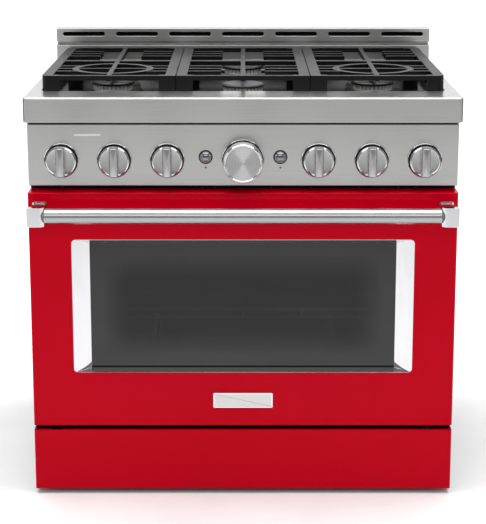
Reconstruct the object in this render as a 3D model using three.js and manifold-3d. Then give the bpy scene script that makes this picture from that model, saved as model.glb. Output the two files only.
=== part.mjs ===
// Freestanding 36-inch gas range: six sealed burners over one large oven with a drop-down door.
// Millimetres, +Z up, the door faces -Y, +X to the right of a person who stands in front of it.
// The origin is on the floor, midway between the sides and midway between handle and back.
import * as THREE from 'three';
import { mergeVertices } from 'three/addons/utils/BufferGeometryUtils.js';
import Module from 'manifold-3d';

const wasm = await Module();
wasm.setup();

// ---------------------------------------------------------------- driving dimensions

const GAP = 0.3;                 // clearance between fixed pieces that touch
const RUN = 0.5;                 // radial clearance of a turning or sliding piece
const SHEET = 2;                 // folded steel sheet

const WIDTH = 911;               // deck and backguard
const OVERHANG = 5.5;            // deck past each side panel
const DECK_Z = 867;              // deck height
const BODY_DEPTH = 690;          // door face to back panel
const HANDLE_REACH = 81;         // door face to the front of the handle
const FLOOR_CLEARANCE = 10;      // air under the kick and side panels

const FASCIA_H = 52;             // front edge of the deck
const FASCIA_R = 9;              // its rounded corners
const PANEL_H = 137;             // control panel
const PANEL_SETBACK = 20;        // fascia face to control panel face
const PANEL_GAP = 11;            // control panel to door
const DOOR_H = 512;
const DOOR_T = 52;
const DOOR_KICK_GAP = 9.6;
const KICK_SETBACK = 1;          // door face to kick face
const KICK_RETURN = 8;           // folded edge of the kick panel
const SIDE_FLANGE = 14;          // folded back edge of a side panel

const BASIN_FRONT = 101;         // deck ledge in front of the basin
const BASIN_SIDE = 26;           // deck strip beside the basin
const BASIN_REAR = 9;            // deck strip behind the basin
const BASIN_D = 28;
const BASIN_R = 14;

const GUARD_H = 77;              // backguard above the deck
const GUARD_T = 48;
const GUARD_BAND = 31;           // upper band with the vent slots
const GUARD_GROOVE_H = 9;
const GUARD_GROOVE_D = 18;
const VENT_COUNT = 7;
const VENT_W = 102;
const VENT_H = 10.2;
const VENT_PITCH = 129.6;
const VENT_DROP = 13;            // top edge to slot centre

const GRATE_COUNT = 3;
const GRATE_SEAM = 2;
const GRATE_CLEAR = 2.5;         // basin wall to grate
const GRATE_RISE = 32;           // grate top above the deck
const GRATE_RAIL_W = 22;
const GRATE_RAIL_H = 10;
const GRATE_BAR_W = 10;
const GRATE_BAR_H = 12;
const GRATE_LEG_X = 35;
const GRATE_LEG_Y = 18;
const FINGER_PITCH = 45;
const FINGER_TIP = 48;           // burner centre to finger tip
const RING_R = 89;
const RING_W = 14;

const BURNER_SPACING = 275;      // front burner to rear burner
const CAP_R = 48;
const CAP_T = 8;
const CAP_TOP = 6.5;             // cap top from the deck
const SMALL_CAP_R = 47;
const SMALL_CAP_TOP = 1.5;
const CROWN_R = 43;
const CROWN_PORTS = 8;
const PORT_W = 6;
const PORT_DEPTH = 6;
const THROAT_R = 24;             // burner throat below the basin floor
const THROAT_LENGTH = 30;
const THROAT_CLEAR = 1;
const CAP_SPIGOT_R = 17;
const CAP_SPIGOT_H = 5;

const KNOB_DROP = 134.6;         // deck to knob axis
const KNOB_INNER_X = 158;        // oven knob to the nearest burner knob
const KNOB_SIDE = 70.5;          // side panel to the outermost burner knob
const KNOB_R = 32;
const KNOB_DISC_T = 12;
const KNOB_GRIP_W = 19;
const KNOB_GRIP_H = 16;
const KNOB_STANDOFF = 5;         // panel face to the back of a knob
const OVEN_KNOB_R = 41.5;
const OVEN_KNOB_T = 40;
const STEM_R = 4;
const STEM_BORE = 18;            // stem inside the knob
const BUTTON_X = 78;
const BUTTON_RISE = 7;           // button axis above the knob axes
const BUTTON_R = 12.5;
const BUTTON_PROUD = 8;
const BUTTON_BODY = 22;

const PIPE_R = 11;
const PIPE_SETBACK = 112;        // door face to the gas manifold's axis
const VALVE_R = 15;
const VALVE_LENGTH = 34;
const VALVE_CLEAR = 1;           // stem to the bore of its valve
const VALVE_BORE = 18;
const STEM_IN_VALVE = 12;
const PIPE_PAST_VALVE = 25;      // last valve to the manifold's closed end
const INLET_LENGTH = 30;
const INLET_MOUTH = 15;
const INLET_WALL = 4;
const SUPPLY_X_INSET = 28;       // side panel to the supply pipe's axis

const WINDOW_SIDE = 89;          // door's edge to the window
const WINDOW_H = 292;
const WINDOW_DROP = 100.6;       // door top to window top
const WINDOW_R = 9;
const TRIM_FLANGE = 10;          // flange behind the door skin
const TRIM_DEPTH = 25;
const TRIM_SIDE = 36;            // how far the funnel closes in at its sides
const TRIM_TOP = 12;
const TRIM_BOTTOM = 4;
const TRIM_T = 2.5;
const GLASS_T = 4;
const GLASS_LAP = 14;            // glass behind the frame that holds it
const INNER_WINDOW_SIDE = 150;   // door's edge to the inner window
const INNER_WINDOW_H = 225;
const INNER_WINDOW_DROP = 160;   // door top to inner window top
const INNER_PANEL_T = 3;

const HANDLE_DROP = 35.5;        // door top to handle axis
const HANDLE_R = 16;
const HANDLE_SIDE = 7.5;         // door's edge to the end of the handle
const BRACKET_W = 35;
const BRACKET_H = 40;
const BRACKET_T = 34;
const POST_W = 22;
const POST_H = 26;
const BRACKET_CHAMFER = 7;

const HINGE_SIDE = 50;           // door's edge to a hinge
const HINGE_ARM_T = 10;
const HINGE_BEHIND = 18;         // door face to hinge axis, near enough for the door to clear the kick panel
const HINGE_BELOW = 24;          // door bottom to hinge axis
const HINGE_PIN_R = 4;
const HINGE_ARM_W = 9;
const HINGE_BOSS_R = 7;
const HINGE_SLOT = 21;           // slot for a hinge arm under the door, from the door's back
const HINGE_ARM_REACH = 80;      // hinge arm inside the door
const NECK_CLEAR = 2.6;          // kick panel's top edge to the neck of the arm, with the door open
const NECK_BEND_Y = 27;          // hinge axis to the arm's bend
const NECK_BEND_Z = 15;
const EAR_T = 4;
const EAR_SPACE = 2;             // hinge arm to ear
const EAR_BACK = 34;             // ears behind and above the hinge axis
const EAR_RISE = 9;

const SEAL_GAP = 6;              // door back to oven face, filled by the seal
const CAVITY_SIDE = 65;          // side panel's face to the cavity, for the insulation
const CAVITY_H = 400;
const CAVITY_D = 500;
const CAVITY_RISE = 60;          // door bottom to cavity floor
const FACE_BELOW = 3;            // oven's face frame above the door's bottom edge
const FACE_ABOVE = 5;            // and above its top edge
const RIB_COUNT = 6;
const RIB_START = 49;            // cavity floor to the first rack support
const RIB_PITCH = 42;
const RIB_W = 12;
const RIB_H = 6;
const RIB_END = 20;              // rib ends short of the front and back of the cavity
const RACK_CLEAR = 4;            // cavity wall to rack
const RACK_BACK_CLEAR = 6;       // rack to the fan cover
const RACK_INSET = 12;           // oven face to rack front
const RACK_ROD_R = 4;
const RACK_WIRE_R = 2.5;
const RACK_LIP = 18;             // front rod to the lip wire below it
const RACK_WIRES = 11;
const RACK_LIP_INSET = 20;
const RACK_DROP_EVERY = 4;       // wires between the uprights of the lip
const RACK_LOWER_RIB = 1;
const RACK_UPPER_RIB = 3;

const FAN_R = 85;
const FAN_BLADES = 8;
const FAN_DEPTH = 22;
const FAN_BACK_CLEAR = 8;        // oven's back wall to the fan wheel
const FAN_HUB_R = 14;
const FAN_BLADE_LENGTH = 30;
const FAN_ROTOR_R = 24;
const FAN_ROTOR_GAP = 10;        // oven's back wall to the rotor
const FAN_SHAFT_R = 5;
const FAN_COVER_R = 125;
const FAN_COVER_D = 42;
const FAN_COVER_TAPER = 12;
const FAN_COVER_SLOTS = 10;
const FAN_SLOT_W = 8;
const FAN_SLOT_LENGTH = 62;
const FAN_SLOT_MID = 67;         // fan axis to the middle of a slot
const FAN_RISE = 210;            // cavity floor to fan axis
const FAN_MOTOR_LENGTH = 45;     // rotor behind the oven's back wall

const BAKE_SPAN = 420;           // between the two legs of the bake burner
const BAKE_R = 10;
const BAKE_RISE = 22;
const BAKE_LENGTH = 400;
const BROIL_W = 360;
const BROIL_D = 330;
const BROIL_T = 24;
const BROIL_DROP = 8;            // cavity ceiling to broil burner
const BROIL_HANGER_INSET = 20;
const BROIL_HANGER_SHORT = 30;   // hanger shorter than the tray at each end
const BROIL_BACK = 120;          // oven's back wall to broil burner

const BASE_Z = 46;               // base pan above the floor
const BASE_FLANGE = 30;
const FOOT_R = 20;
const FOOT_PAD_T = 8;
const FOOT_STEM_R = 7;
const FOOT_NUT_R = 12;
const FOOT_NUT_T = 9;
const FOOT_STEM_RISE = 12;       // stem above the pan
const FOOT_INSET_X = 85;
const FOOT_INSET_Y = 55;
const LOUVRE_COUNT = 4;          // cooling slots behind the fan motor
const LOUVRE_W = 80;
const LOUVRE_H = 8;
const LOUVRE_PITCH = 24;
const INLET_R = 13;
const INLET_HOLE_R = 20;

// ---------------------------------------------------------------- places that follow from them

const FRONT = HANDLE_REACH - (BODY_DEPTH + HANDLE_REACH) / 2;
const REAR = FRONT + BODY_DEPTH;
const HALF = WIDTH / 2;
const BODY_X = HALF - OVERHANG;
const KNOB_OUTER_X = BODY_X - KNOB_SIDE;
const KNOB_X = [KNOB_INNER_X, (KNOB_INNER_X + KNOB_OUTER_X) / 2, KNOB_OUTER_X];
const WINDOW_W = 2 * (BODY_X - WINDOW_SIDE);
const INNER_WINDOW_W = 2 * (BODY_X - INNER_WINDOW_SIDE);
const HANDLE_LENGTH = 2 * (BODY_X - HANDLE_SIDE);
const HINGE_X = BODY_X - HINGE_SIDE;
const CAVITY_W = 2 * (BODY_X - CAVITY_SIDE);
const FASCIA_Z = DECK_Z - FASCIA_H;
const PANEL_Z = FASCIA_Z - PANEL_H;
const DOOR_TOP = PANEL_Z - PANEL_GAP;
const DOOR_Z = DOOR_TOP - DOOR_H;
const DOOR_BACK = FRONT + DOOR_T;
const KICK_TOP = DOOR_Z - DOOR_KICK_GAP;
const KICK_BACK = FRONT + KICK_SETBACK + KICK_RETURN;
const OVEN_FACE = DOOR_BACK + SEAL_GAP;
const CAVITY_Z = DOOR_Z + CAVITY_RISE;
const CAVITY_TOP = CAVITY_Z + CAVITY_H;
const CAVITY_BACK = OVEN_FACE + CAVITY_D;
const GUARD_FACE = REAR - GUARD_T;
const DECK_REAR = GUARD_FACE - GAP;
const BASIN = {
  x: HALF - BASIN_SIDE, y0: FRONT + BASIN_FRONT, y1: DECK_REAR - BASIN_REAR, z: DECK_Z - BASIN_D,
};
const GRATE_SPAN = 2 * (BASIN.x - GRATE_CLEAR);
const GRATE_W = (GRATE_SPAN - (GRATE_COUNT - 1) * GRATE_SEAM) / GRATE_COUNT;
const GRATE_PITCH = GRATE_W + GRATE_SEAM;
const GRATE_Y0 = BASIN.y0 + GRATE_CLEAR;
const GRATE_Y1 = BASIN.y1 - GRATE_CLEAR;
const GRATE_MID = (GRATE_Y0 + GRATE_Y1) / 2;
const GRATE_TOP = DECK_Z + GRATE_RISE;
const BURNER_ROWS = { front: GRATE_MID - BURNER_SPACING / 2, rear: GRATE_MID + BURNER_SPACING / 2 };
const COLUMNS = { left: -GRATE_PITCH, centre: 0, right: GRATE_PITCH };
const PANEL_FACE = FRONT + PANEL_SETBACK;
const PANEL_BACK = OVEN_FACE - GAP;
const KNOB_Z = DECK_Z - KNOB_DROP;
const PIPE_Y = FRONT + PIPE_SETBACK;
const VALVE_FRONT = PIPE_Y - VALVE_LENGTH;
const SUPPLY_X = BODY_X - SUPPLY_X_INSET;
const WINDOW_TOP = DOOR_TOP - WINDOW_DROP;
const EAR_IN = HINGE_ARM_T / 2 + EAR_SPACE;
const EAR_OUT = EAR_IN + EAR_T;
const HINGE = { y: FRONT + HINGE_BEHIND, z: DOOR_Z - HINGE_BELOW };
const HANDLE_Y = FRONT - HANDLE_REACH + HANDLE_R;
const HANDLE_Z = DOOR_TOP - HANDLE_DROP;
const FAN_Z = CAVITY_Z + FAN_RISE;

// ---------------------------------------------------------------- solids

function toSolid(geometry) {
  geometry.deleteAttribute('normal');
  geometry.deleteAttribute('uv');
  const merged = mergeVertices(geometry, 1e-4);
  return new wasm.Manifold(new wasm.Mesh({
    numProp: 3,
    vertProperties: new Float32Array(merged.attributes.position.array),
    triVerts: new Uint32Array(merged.index.array),
  }));
}

function toGeometry(solid) {
  const mesh = solid.getMesh();
  const geometry = new THREE.BufferGeometry();
  geometry.setAttribute('position', new THREE.BufferAttribute(mesh.vertProperties, 3));
  geometry.setIndex(new THREE.BufferAttribute(mesh.triVerts, 1));
  geometry.computeVertexNormals();
  return geometry;
}

const join = (first, ...rest) => rest.reduce((whole, piece) => whole.add(piece), first);
const cut = (first, ...rest) => rest.reduce((whole, piece) => whole.subtract(piece), first);

function block([x0, x1], [y0, y1], [z0, z1]) {
  const geometry = new THREE.BoxGeometry(x1 - x0, y1 - y0, z1 - z0);
  return toSolid(geometry.translate((x0 + x1) / 2, (y0 + y1) / 2, (z0 + z1) / 2));
}

// From one distance to another out from the centre plane, to the left (-1) or the right (1).
const span = (side, near, far) => (side < 0 ? [-far, -near] : [near, far]);

// A block that is as wide to the left of the centre plane as to the right.
const wide = (halfX, y, z) => block([-halfX, halfX], y, z);

// A round bar along X, Y or Z from one place on that axis to another.
function rod(axis, radius, [start, end], { x = 0, y = 0, z = 0 } = {}, sides = 24) {
  const geometry = new THREE.CylinderGeometry(radius, radius, end - start, sides);
  geometry.translate(0, (start + end) / 2, 0);
  if (axis === 'x') geometry.rotateZ(-Math.PI / 2);
  if (axis === 'z') geometry.rotateX(Math.PI / 2);
  return toSolid(geometry.translate(x, y, z));
}

function outline(points) {
  return new THREE.Shape(points.map(([u, v]) => new THREE.Vector2(u, v)));
}

function roundedOutline([u0, u1], [v0, v1], r) {
  const shape = new THREE.Shape();
  shape.moveTo(u0 + r, v0);
  shape.lineTo(u1 - r, v0);
  shape.absarc(u1 - r, v0 + r, r, -Math.PI / 2, 0);
  shape.lineTo(u1, v1 - r);
  shape.absarc(u1 - r, v1 - r, r, 0, Math.PI / 2);
  shape.lineTo(u0 + r, v1);
  shape.absarc(u0 + r, v1 - r, r, Math.PI / 2, Math.PI);
  shape.lineTo(u0, v0 + r);
  shape.absarc(u0 + r, v0 + r, r, Math.PI, 1.5 * Math.PI);
  return shape;
}

// An outline pushed along X (drawn in Y and Z), Y (drawn in X and Z) or Z (drawn in X and Y).
function prism(axis, shape, [start, end], curveSegments = 5) {
  const geometry = new THREE.ExtrudeGeometry(shape, { depth: end - start, bevelEnabled: false, curveSegments });
  const X = new THREE.Vector3(1, 0, 0);
  const Y = new THREE.Vector3(0, 1, 0);
  const Z = new THREE.Vector3(0, 0, 1);
  const turn = new THREE.Matrix4();
  if (axis === 'x') turn.makeBasis(Y, Z, X).setPosition(start, 0, 0);
  if (axis === 'y') turn.makeBasis(X, Z, Y.negate()).setPosition(0, end, 0);
  if (axis === 'z') turn.setPosition(0, 0, start);
  return toSolid(geometry.applyMatrix4(turn));
}

// A turned piece about +Z from [radius, height] points.
function turned(points, segments = 32) {
  const geometry = new THREE.LatheGeometry(points.map(([r, h]) => new THREE.Vector2(r, h)), segments);
  return toSolid(geometry.rotateX(Math.PI / 2));
}

// The same piece facing the front: heights run towards -Y.
function turnedForward(points, segments = 32) {
  const geometry = new THREE.LatheGeometry(points.map(([r, h]) => new THREE.Vector2(r, h)), segments);
  return toSolid(geometry.rotateX(Math.PI));
}

// A funnel between two rectangles that lie in planes of constant Y.
function funnel(frontBox, frontY, backBox, backY) {
  const corners = ([x0, x1], [z0, z1], y) => [[x0, y, z0], [x1, y, z0], [x1, y, z1], [x0, y, z1]];
  const points = [...corners(frontBox.x, frontBox.z, frontY), ...corners(backBox.x, backBox.z, backY)];
  const quads = [[0, 1, 2, 3], [7, 6, 5, 4], [4, 5, 1, 0], [5, 6, 2, 1], [6, 7, 3, 2], [7, 4, 0, 3]];
  return new wasm.Manifold(new wasm.Mesh({
    numProp: 3,
    vertProperties: new Float32Array(points.flat()),
    triVerts: new Uint32Array(quads.flatMap(([a, b, c, d]) => [a, b, c, a, c, d])),
  }));
}

// ---------------------------------------------------------------- materials

const FINISH = {
  steel: { color: '#b4b4b4', roughness: 0.3, metalness: 1 },
  chrome: { color: '#dcdcdc', roughness: 0.12, metalness: 1 },
  redEnamel: { color: '#b2001a', roughness: 0.25, metalness: 0 },
  sideEnamel: { color: '#26262a', roughness: 0.45, metalness: 0 },
  oven: { color: '#1b1c22', roughness: 0.35, metalness: 0 },
  galvanised: { color: '#9a9c9e', roughness: 0.5, metalness: 1 },
  castIron: { color: '#2b2b2b', roughness: 0.7, metalness: 0.3 },
  aluminium: { color: '#c4c4c2', roughness: 0.35, metalness: 1 },
  brass: { color: '#b08d4a', roughness: 0.35, metalness: 1 },
  glass: { color: '#20242a', roughness: 0.05, metalness: 0 },
};

const range = new THREE.Group();

function place(name, finish, solid) {
  const mesh = new THREE.Mesh(toGeometry(solid), new THREE.MeshStandardMaterial(FINISH[finish]));
  mesh.name = name;
  range.add(mesh);
  return mesh;
}

// ---------------------------------------------------------------- body

// The flat base stands on the feet, turns down at front and back and up at the sides, and its ears
// carry the door hinge pins.
function basePan() {
  const x = BODY_X - SHEET - GAP;
  const y = [KICK_BACK + GAP, REAR - SHEET - GAP];
  const z = [BASE_Z, BASE_Z + SHEET];
  const plate = wide(x, y, z);
  const skirt = wide(x, [y[0], y[0] + SHEET], [BASE_Z - BASE_FLANGE, z[1]]);
  const tail = wide(x, [y[1] - SHEET, y[1]], [BASE_Z - BASE_FLANGE, z[1]]);
  const sides = [-1, 1].map((side) => block(span(side, x - SHEET, x), y, [BASE_Z, BASE_Z + BASE_FLANGE]));
  const earY = [y[0], HINGE.y + EAR_BACK];
  const earZ = [BASE_Z, HINGE.z + EAR_RISE];
  const ears = [-1, 1].flatMap((side) => [
    block(span(side, HINGE_X + EAR_IN, HINGE_X + EAR_OUT), earY, earZ),
    block(span(side, HINGE_X - EAR_OUT, HINGE_X - EAR_IN), earY, earZ),
  ]);
  const holes = [-1, 1].map((side) => {
    return rod('x', HINGE_PIN_R + RUN, span(side, HINGE_X - EAR_OUT - 1, HINGE_X + EAR_OUT + 1), HINGE, 12);
  });
  const stems = footPlaces().map(([fx, fy]) => {
    return rod('z', FOOT_STEM_R + RUN, [BASE_Z - 1, z[1] + 1], { x: fx, y: fy }, 12);
  });
  return cut(join(plate, skirt, tail, ...sides, ...ears), ...holes, ...stems);
}

function footPlaces() {
  const x = BODY_X - FOOT_INSET_X;
  const y = [FRONT + FOOT_INSET_Y, REAR - FOOT_INSET_Y];
  return [[-x, y[0]], [x, y[0]], [-x, y[1]], [x, y[1]]];
}

function foot() {
  const top = BASE_Z + SHEET + FOOT_STEM_RISE;
  const nutZ = BASE_Z - FOOT_NUT_T;
  return turned([
    [0, 0], [FOOT_R, 0], [FOOT_R, FOOT_PAD_T], [FOOT_STEM_R, FOOT_PAD_T], [FOOT_STEM_R, nutZ],
    [FOOT_NUT_R, nutZ], [FOOT_NUT_R, BASE_Z - GAP], [FOOT_STEM_R, BASE_Z - GAP], [FOOT_STEM_R, top], [0, top],
  ], 12);
}

// A side sheet with a toe that reaches forward to the kick panel and a flange along its back edge.
function sidePanel(side) {
  const sheet = span(side, BODY_X - SHEET, BODY_X);
  const y = [OVEN_FACE, REAR - SHEET - GAP];
  return join(
    block(sheet, y, [FLOOR_CLEARANCE, FASCIA_Z - GAP]),
    block(sheet, [KICK_BACK + GAP, y[0] + 1], [FLOOR_CLEARANCE, KICK_TOP]),
    block(span(side, BODY_X - SIDE_FLANGE, BODY_X), [y[1] - SHEET, y[1]],
      [BASE_Z + BASE_FLANGE + GAP, FASCIA_Z - GAP]),
  );
}

function rearPanel() {
  const plate = wide(BODY_X, [REAR - SHEET, REAR], [FLOOR_CLEARANCE, FASCIA_Z - GAP]);
  const inlet = rod('y', INLET_HOLE_R, [REAR - SHEET - 1, REAR + 1], { x: SUPPLY_X, z: KNOB_Z }, 24);
  const louvres = [];
  for (let row = 0; row < LOUVRE_COUNT; row += 1) {
    const z = FAN_Z + (row - (LOUVRE_COUNT - 1) / 2) * LOUVRE_PITCH;
    louvres.push(wide(LOUVRE_W / 2, [REAR - SHEET - 1, REAR + 1], [z - LOUVRE_H / 2, z + LOUVRE_H / 2]));
  }
  return cut(plate, inlet, ...louvres);
}

function kickPanel() {
  const y = [FRONT + KICK_SETBACK, KICK_BACK];
  const shell = cut(
    wide(BODY_X, y, [FLOOR_CLEARANCE, KICK_TOP]),
    wide(BODY_X - SHEET, [y[0] + SHEET, y[1] + 1], [FLOOR_CLEARANCE + SHEET, KICK_TOP - SHEET]),
  );
  const notches = [-1, 1].map((side) => {
    const x = span(side, HINGE_X - EAR_OUT, HINGE_X + EAR_OUT);
    return block(x, [y[0] + SHEET, y[1] + 1], [HINGE.z, KICK_TOP + 1]);
  });
  return cut(shell, ...notches);
}

// ---------------------------------------------------------------- oven

function ovenLiner() {
  const shellZ = [CAVITY_Z - SHEET, CAVITY_TOP + SHEET];
  const shell = wide(CAVITY_W / 2 + SHEET, [OVEN_FACE, CAVITY_BACK + SHEET], shellZ);
  const faceZ = [DOOR_Z + FACE_BELOW, DOOR_TOP + FACE_ABOVE];
  const faceFrame = wide(BODY_X - SHEET - GAP, [OVEN_FACE, OVEN_FACE + SHEET], faceZ);
  const hollow = wide(CAVITY_W / 2, [OVEN_FACE - 1, CAVITY_BACK], [CAVITY_Z, CAVITY_TOP]);
  const shaftHole = rod('y', FAN_SHAFT_R + 2, [CAVITY_BACK - 1, CAVITY_BACK + SHEET + 1], { z: FAN_Z }, 16);
  const ribs = [];
  for (let level = 0; level < RIB_COUNT; level += 1) {
    const top = CAVITY_Z + RIB_START + level * RIB_PITCH;
    for (const side of [-1, 1]) {
      const x = span(side, CAVITY_W / 2 - RIB_W, CAVITY_W / 2 + 1);
      ribs.push(block(x, [OVEN_FACE + RIB_END, CAVITY_BACK - RIB_END], [top - RIB_H, top]));
    }
  }
  return join(cut(join(shell, faceFrame), hollow, shaftHole), ...ribs);
}

// A flat wire rack that rests on one pair of ribs.
function rack(level) {
  const half = CAVITY_W / 2 - RACK_CLEAR;
  const z = CAVITY_Z + RIB_START + level * RIB_PITCH + RACK_ROD_R + GAP;
  const y0 = OVEN_FACE + RACK_INSET;
  const y1 = CAVITY_BACK - FAN_COVER_D - RACK_BACK_CLEAR;
  const lip = half - RACK_LIP_INSET;
  const rods = [
    rod('x', RACK_ROD_R, [-half, half], { y: y0 + RACK_ROD_R, z }, 6),
    rod('x', RACK_ROD_R, [-half, half], { y: y1 - RACK_ROD_R, z }, 6),
    rod('x', RACK_WIRE_R, [-lip, lip], { y: y0 + RACK_ROD_R, z: z - RACK_LIP }, 4),
    ...[-1, 1].map((side) => rod('y', RACK_ROD_R, [y0, y1], { x: side * (half - RACK_ROD_R), z }, 6)),
  ];
  for (let wire = 1; wire <= RACK_WIRES; wire += 1) {
    const x = -half + (wire * 2 * half) / (RACK_WIRES + 1);
    rods.push(rod('y', RACK_WIRE_R, [y0 + 1, y1 - 1], { x, z: z + RACK_ROD_R - RACK_WIRE_R }, 4));
    if (wire % RACK_DROP_EVERY === RACK_DROP_EVERY / 2) {
      rods.push(rod('z', RACK_WIRE_R, [z - RACK_LIP, z], { x, y: y0 + RACK_ROD_R }, 4));
    }
  }
  return join(...rods);
}

// A tube bent into a U that lies over the oven floor, with its open ends at the back wall.
function bakeBurner() {
  const z = CAVITY_Z + BAKE_RISE;
  const y1 = CAVITY_BACK - GAP;
  const y0 = y1 - BAKE_LENGTH;
  const legs = [-1, 1].map((side) => rod('y', BAKE_R, [y0 + BAKE_R, y1], { x: side * (BAKE_SPAN / 2), z }, 12));
  const nose = rod('x', BAKE_R, [-BAKE_SPAN / 2 - BAKE_R, BAKE_SPAN / 2 + BAKE_R], { y: y0 + BAKE_R, z }, 12);
  return join(nose, ...legs);
}

function broilBurner() {
  const top = CAVITY_TOP - GAP;
  const y1 = CAVITY_BACK - BROIL_BACK;
  const y = [y1 - BROIL_D, y1];
  const tray = wide(BROIL_W / 2, y, [top - BROIL_DROP - BROIL_T, top - BROIL_DROP]);
  const hangers = [y[0] + BROIL_HANGER_INSET, y[1] - BROIL_HANGER_INSET].map((at) => {
    return wide(BROIL_W / 2 - BROIL_HANGER_SHORT, [at - SHEET, at + SHEET], [top - BROIL_DROP - 1, top]);
  });
  return join(tray, ...hangers);
}

function fanCover() {
  const back = CAVITY_BACK - GAP;
  const rim = FAN_COVER_R - FAN_COVER_TAPER;
  const shell = cut(
    turnedForward([[0, 0], [FAN_COVER_R, 0], [rim, FAN_COVER_D], [0, FAN_COVER_D]], 20),
    turnedForward([
      [0, -1], [FAN_COVER_R - SHEET, -1], [rim - SHEET, FAN_COVER_D - SHEET],
      [0, FAN_COVER_D - SHEET],
    ], 20),
  );
  const slots = [];
  for (let slot = 0; slot < FAN_COVER_SLOTS; slot += 1) {
    const bar = new THREE.BoxGeometry(FAN_SLOT_W, 4 * SHEET, FAN_SLOT_LENGTH);
    bar.translate(0, -FAN_COVER_D, FAN_SLOT_MID);
    slots.push(toSolid(bar.rotateY((slot * 2 * Math.PI) / FAN_COVER_SLOTS)));
  }
  return cut(shell, ...slots).translate([0, back, FAN_Z]);
}

// The fan wheel with its shaft and the motor's rotor behind the oven.
function convectionFan() {
  const wheelY = CAVITY_BACK - FAN_BACK_CLEAR - FAN_DEPTH;
  const rotorEnd = CAVITY_BACK + SHEET + FAN_MOTOR_LENGTH;
  const hub = rod('y', FAN_HUB_R, [wheelY, wheelY + FAN_DEPTH], { z: FAN_Z }, 12);
  const disc = rod('y', FAN_R, [wheelY + FAN_DEPTH - SHEET, wheelY + FAN_DEPTH], { z: FAN_Z }, 20);
  const shaft = rod('y', FAN_SHAFT_R, [wheelY, rotorEnd], { z: FAN_Z }, 8);
  const rotor = rod('y', FAN_ROTOR_R, [CAVITY_BACK + SHEET + FAN_ROTOR_GAP, rotorEnd], { z: FAN_Z }, 12);
  const blades = [];
  for (let blade = 0; blade < FAN_BLADES; blade += 1) {
    const plate = new THREE.BoxGeometry(SHEET, FAN_DEPTH, FAN_BLADE_LENGTH);
    plate.translate(0, wheelY + FAN_DEPTH / 2, FAN_R - FAN_BLADE_LENGTH / 2 - SHEET);
    blades.push(toSolid(plate.rotateY((blade * 2 * Math.PI) / FAN_BLADES).translate(0, 0, FAN_Z)));
  }
  return join(disc, hub, shaft, rotor, ...blades);
}

// ---------------------------------------------------------------- cooktop

function burnerPlaces() {
  return Object.entries(BURNER_ROWS).flatMap(([row, y]) => {
    return Object.entries(COLUMNS).map(([column, x]) => ({ name: `${column}_${row}`, x, y }));
  });
}

function cooktop() {
  const deckOutline = roundedOutline([-HALF, HALF], [FRONT, DECK_REAR + FASCIA_R], FASCIA_R);
  const skin = prism('z', deckOutline, [FASCIA_Z, DECK_Z]);
  const body = skin.subtract(wide(HALF + 1, [DECK_REAR, DECK_REAR + 2 * FASCIA_R], [FASCIA_Z - 1, DECK_Z + 1]));
  const under = wide(HALF - SHEET, [FRONT + SHEET, DECK_REAR - SHEET], [FASCIA_Z - 1, DECK_Z - SHEET]);
  const basinWall = prism('z',
    roundedOutline([-BASIN.x - SHEET, BASIN.x + SHEET], [BASIN.y0 - SHEET, BASIN.y1 + SHEET], BASIN_R + SHEET),
    [BASIN.z - SHEET, DECK_Z - 1]);
  const basinOutline = roundedOutline([-BASIN.x, BASIN.x], [BASIN.y0, BASIN.y1], BASIN_R);
  const pocket = prism('z', basinOutline, [BASIN.z, DECK_Z + 1]);
  const throats = burnerPlaces().map(({ x, y }) => {
    return rod('z', THROAT_R + THROAT_CLEAR, [BASIN.z - SHEET - 1, BASIN.z + 1], { x, y }, 20);
  });
  return cut(join(body.subtract(under), basinWall), pocket, ...throats);
}

const capFor = (name) => (name === 'centre_front'
  ? { radius: SMALL_CAP_R, top: DECK_Z + SMALL_CAP_TOP }
  : { radius: CAP_R, top: DECK_Z + CAP_TOP });

// A cast crown with gas ports stands on the basin floor; its throat passes through to the burner box.
function burnerHead(name) {
  const { top } = capFor(name);
  const rim = top - CAP_T - GAP;
  const foot = BASIN.z + GAP;
  const outer = [
    [0, foot - THROAT_LENGTH], [THROAT_R, foot - THROAT_LENGTH], [THROAT_R, foot], [CROWN_R - 3, foot],
    [CROWN_R, foot + 6], [CROWN_R, rim], [0, rim],
  ];
  const bore = rod('z', CAP_SPIGOT_R + 1, [foot - THROAT_LENGTH - 1, rim + 1], {}, 12);
  const ports = [];
  for (let port = 0; port < CROWN_PORTS; port += 1) {
    const slot = new THREE.BoxGeometry(PORT_W, 10, PORT_DEPTH * 2).translate(0, CROWN_R, rim);
    ports.push(toSolid(slot.rotateZ((port * 2 * Math.PI) / CROWN_PORTS)));
  }
  return cut(turned(outer, 20), bore, ...ports);
}

// A domed enamelled disc with a spigot that drops into the crown.
function burnerCap(name) {
  const { radius, top } = capFor(name);
  const seat = top - CAP_T;
  return turned([
    [0, seat - CAP_SPIGOT_H], [CAP_SPIGOT_R, seat - CAP_SPIGOT_H], [CAP_SPIGOT_R, seat], [radius, seat],
    [radius, top - 3], [radius - 4, top - 0.5], [0, top],
  ], 20);
}

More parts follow.
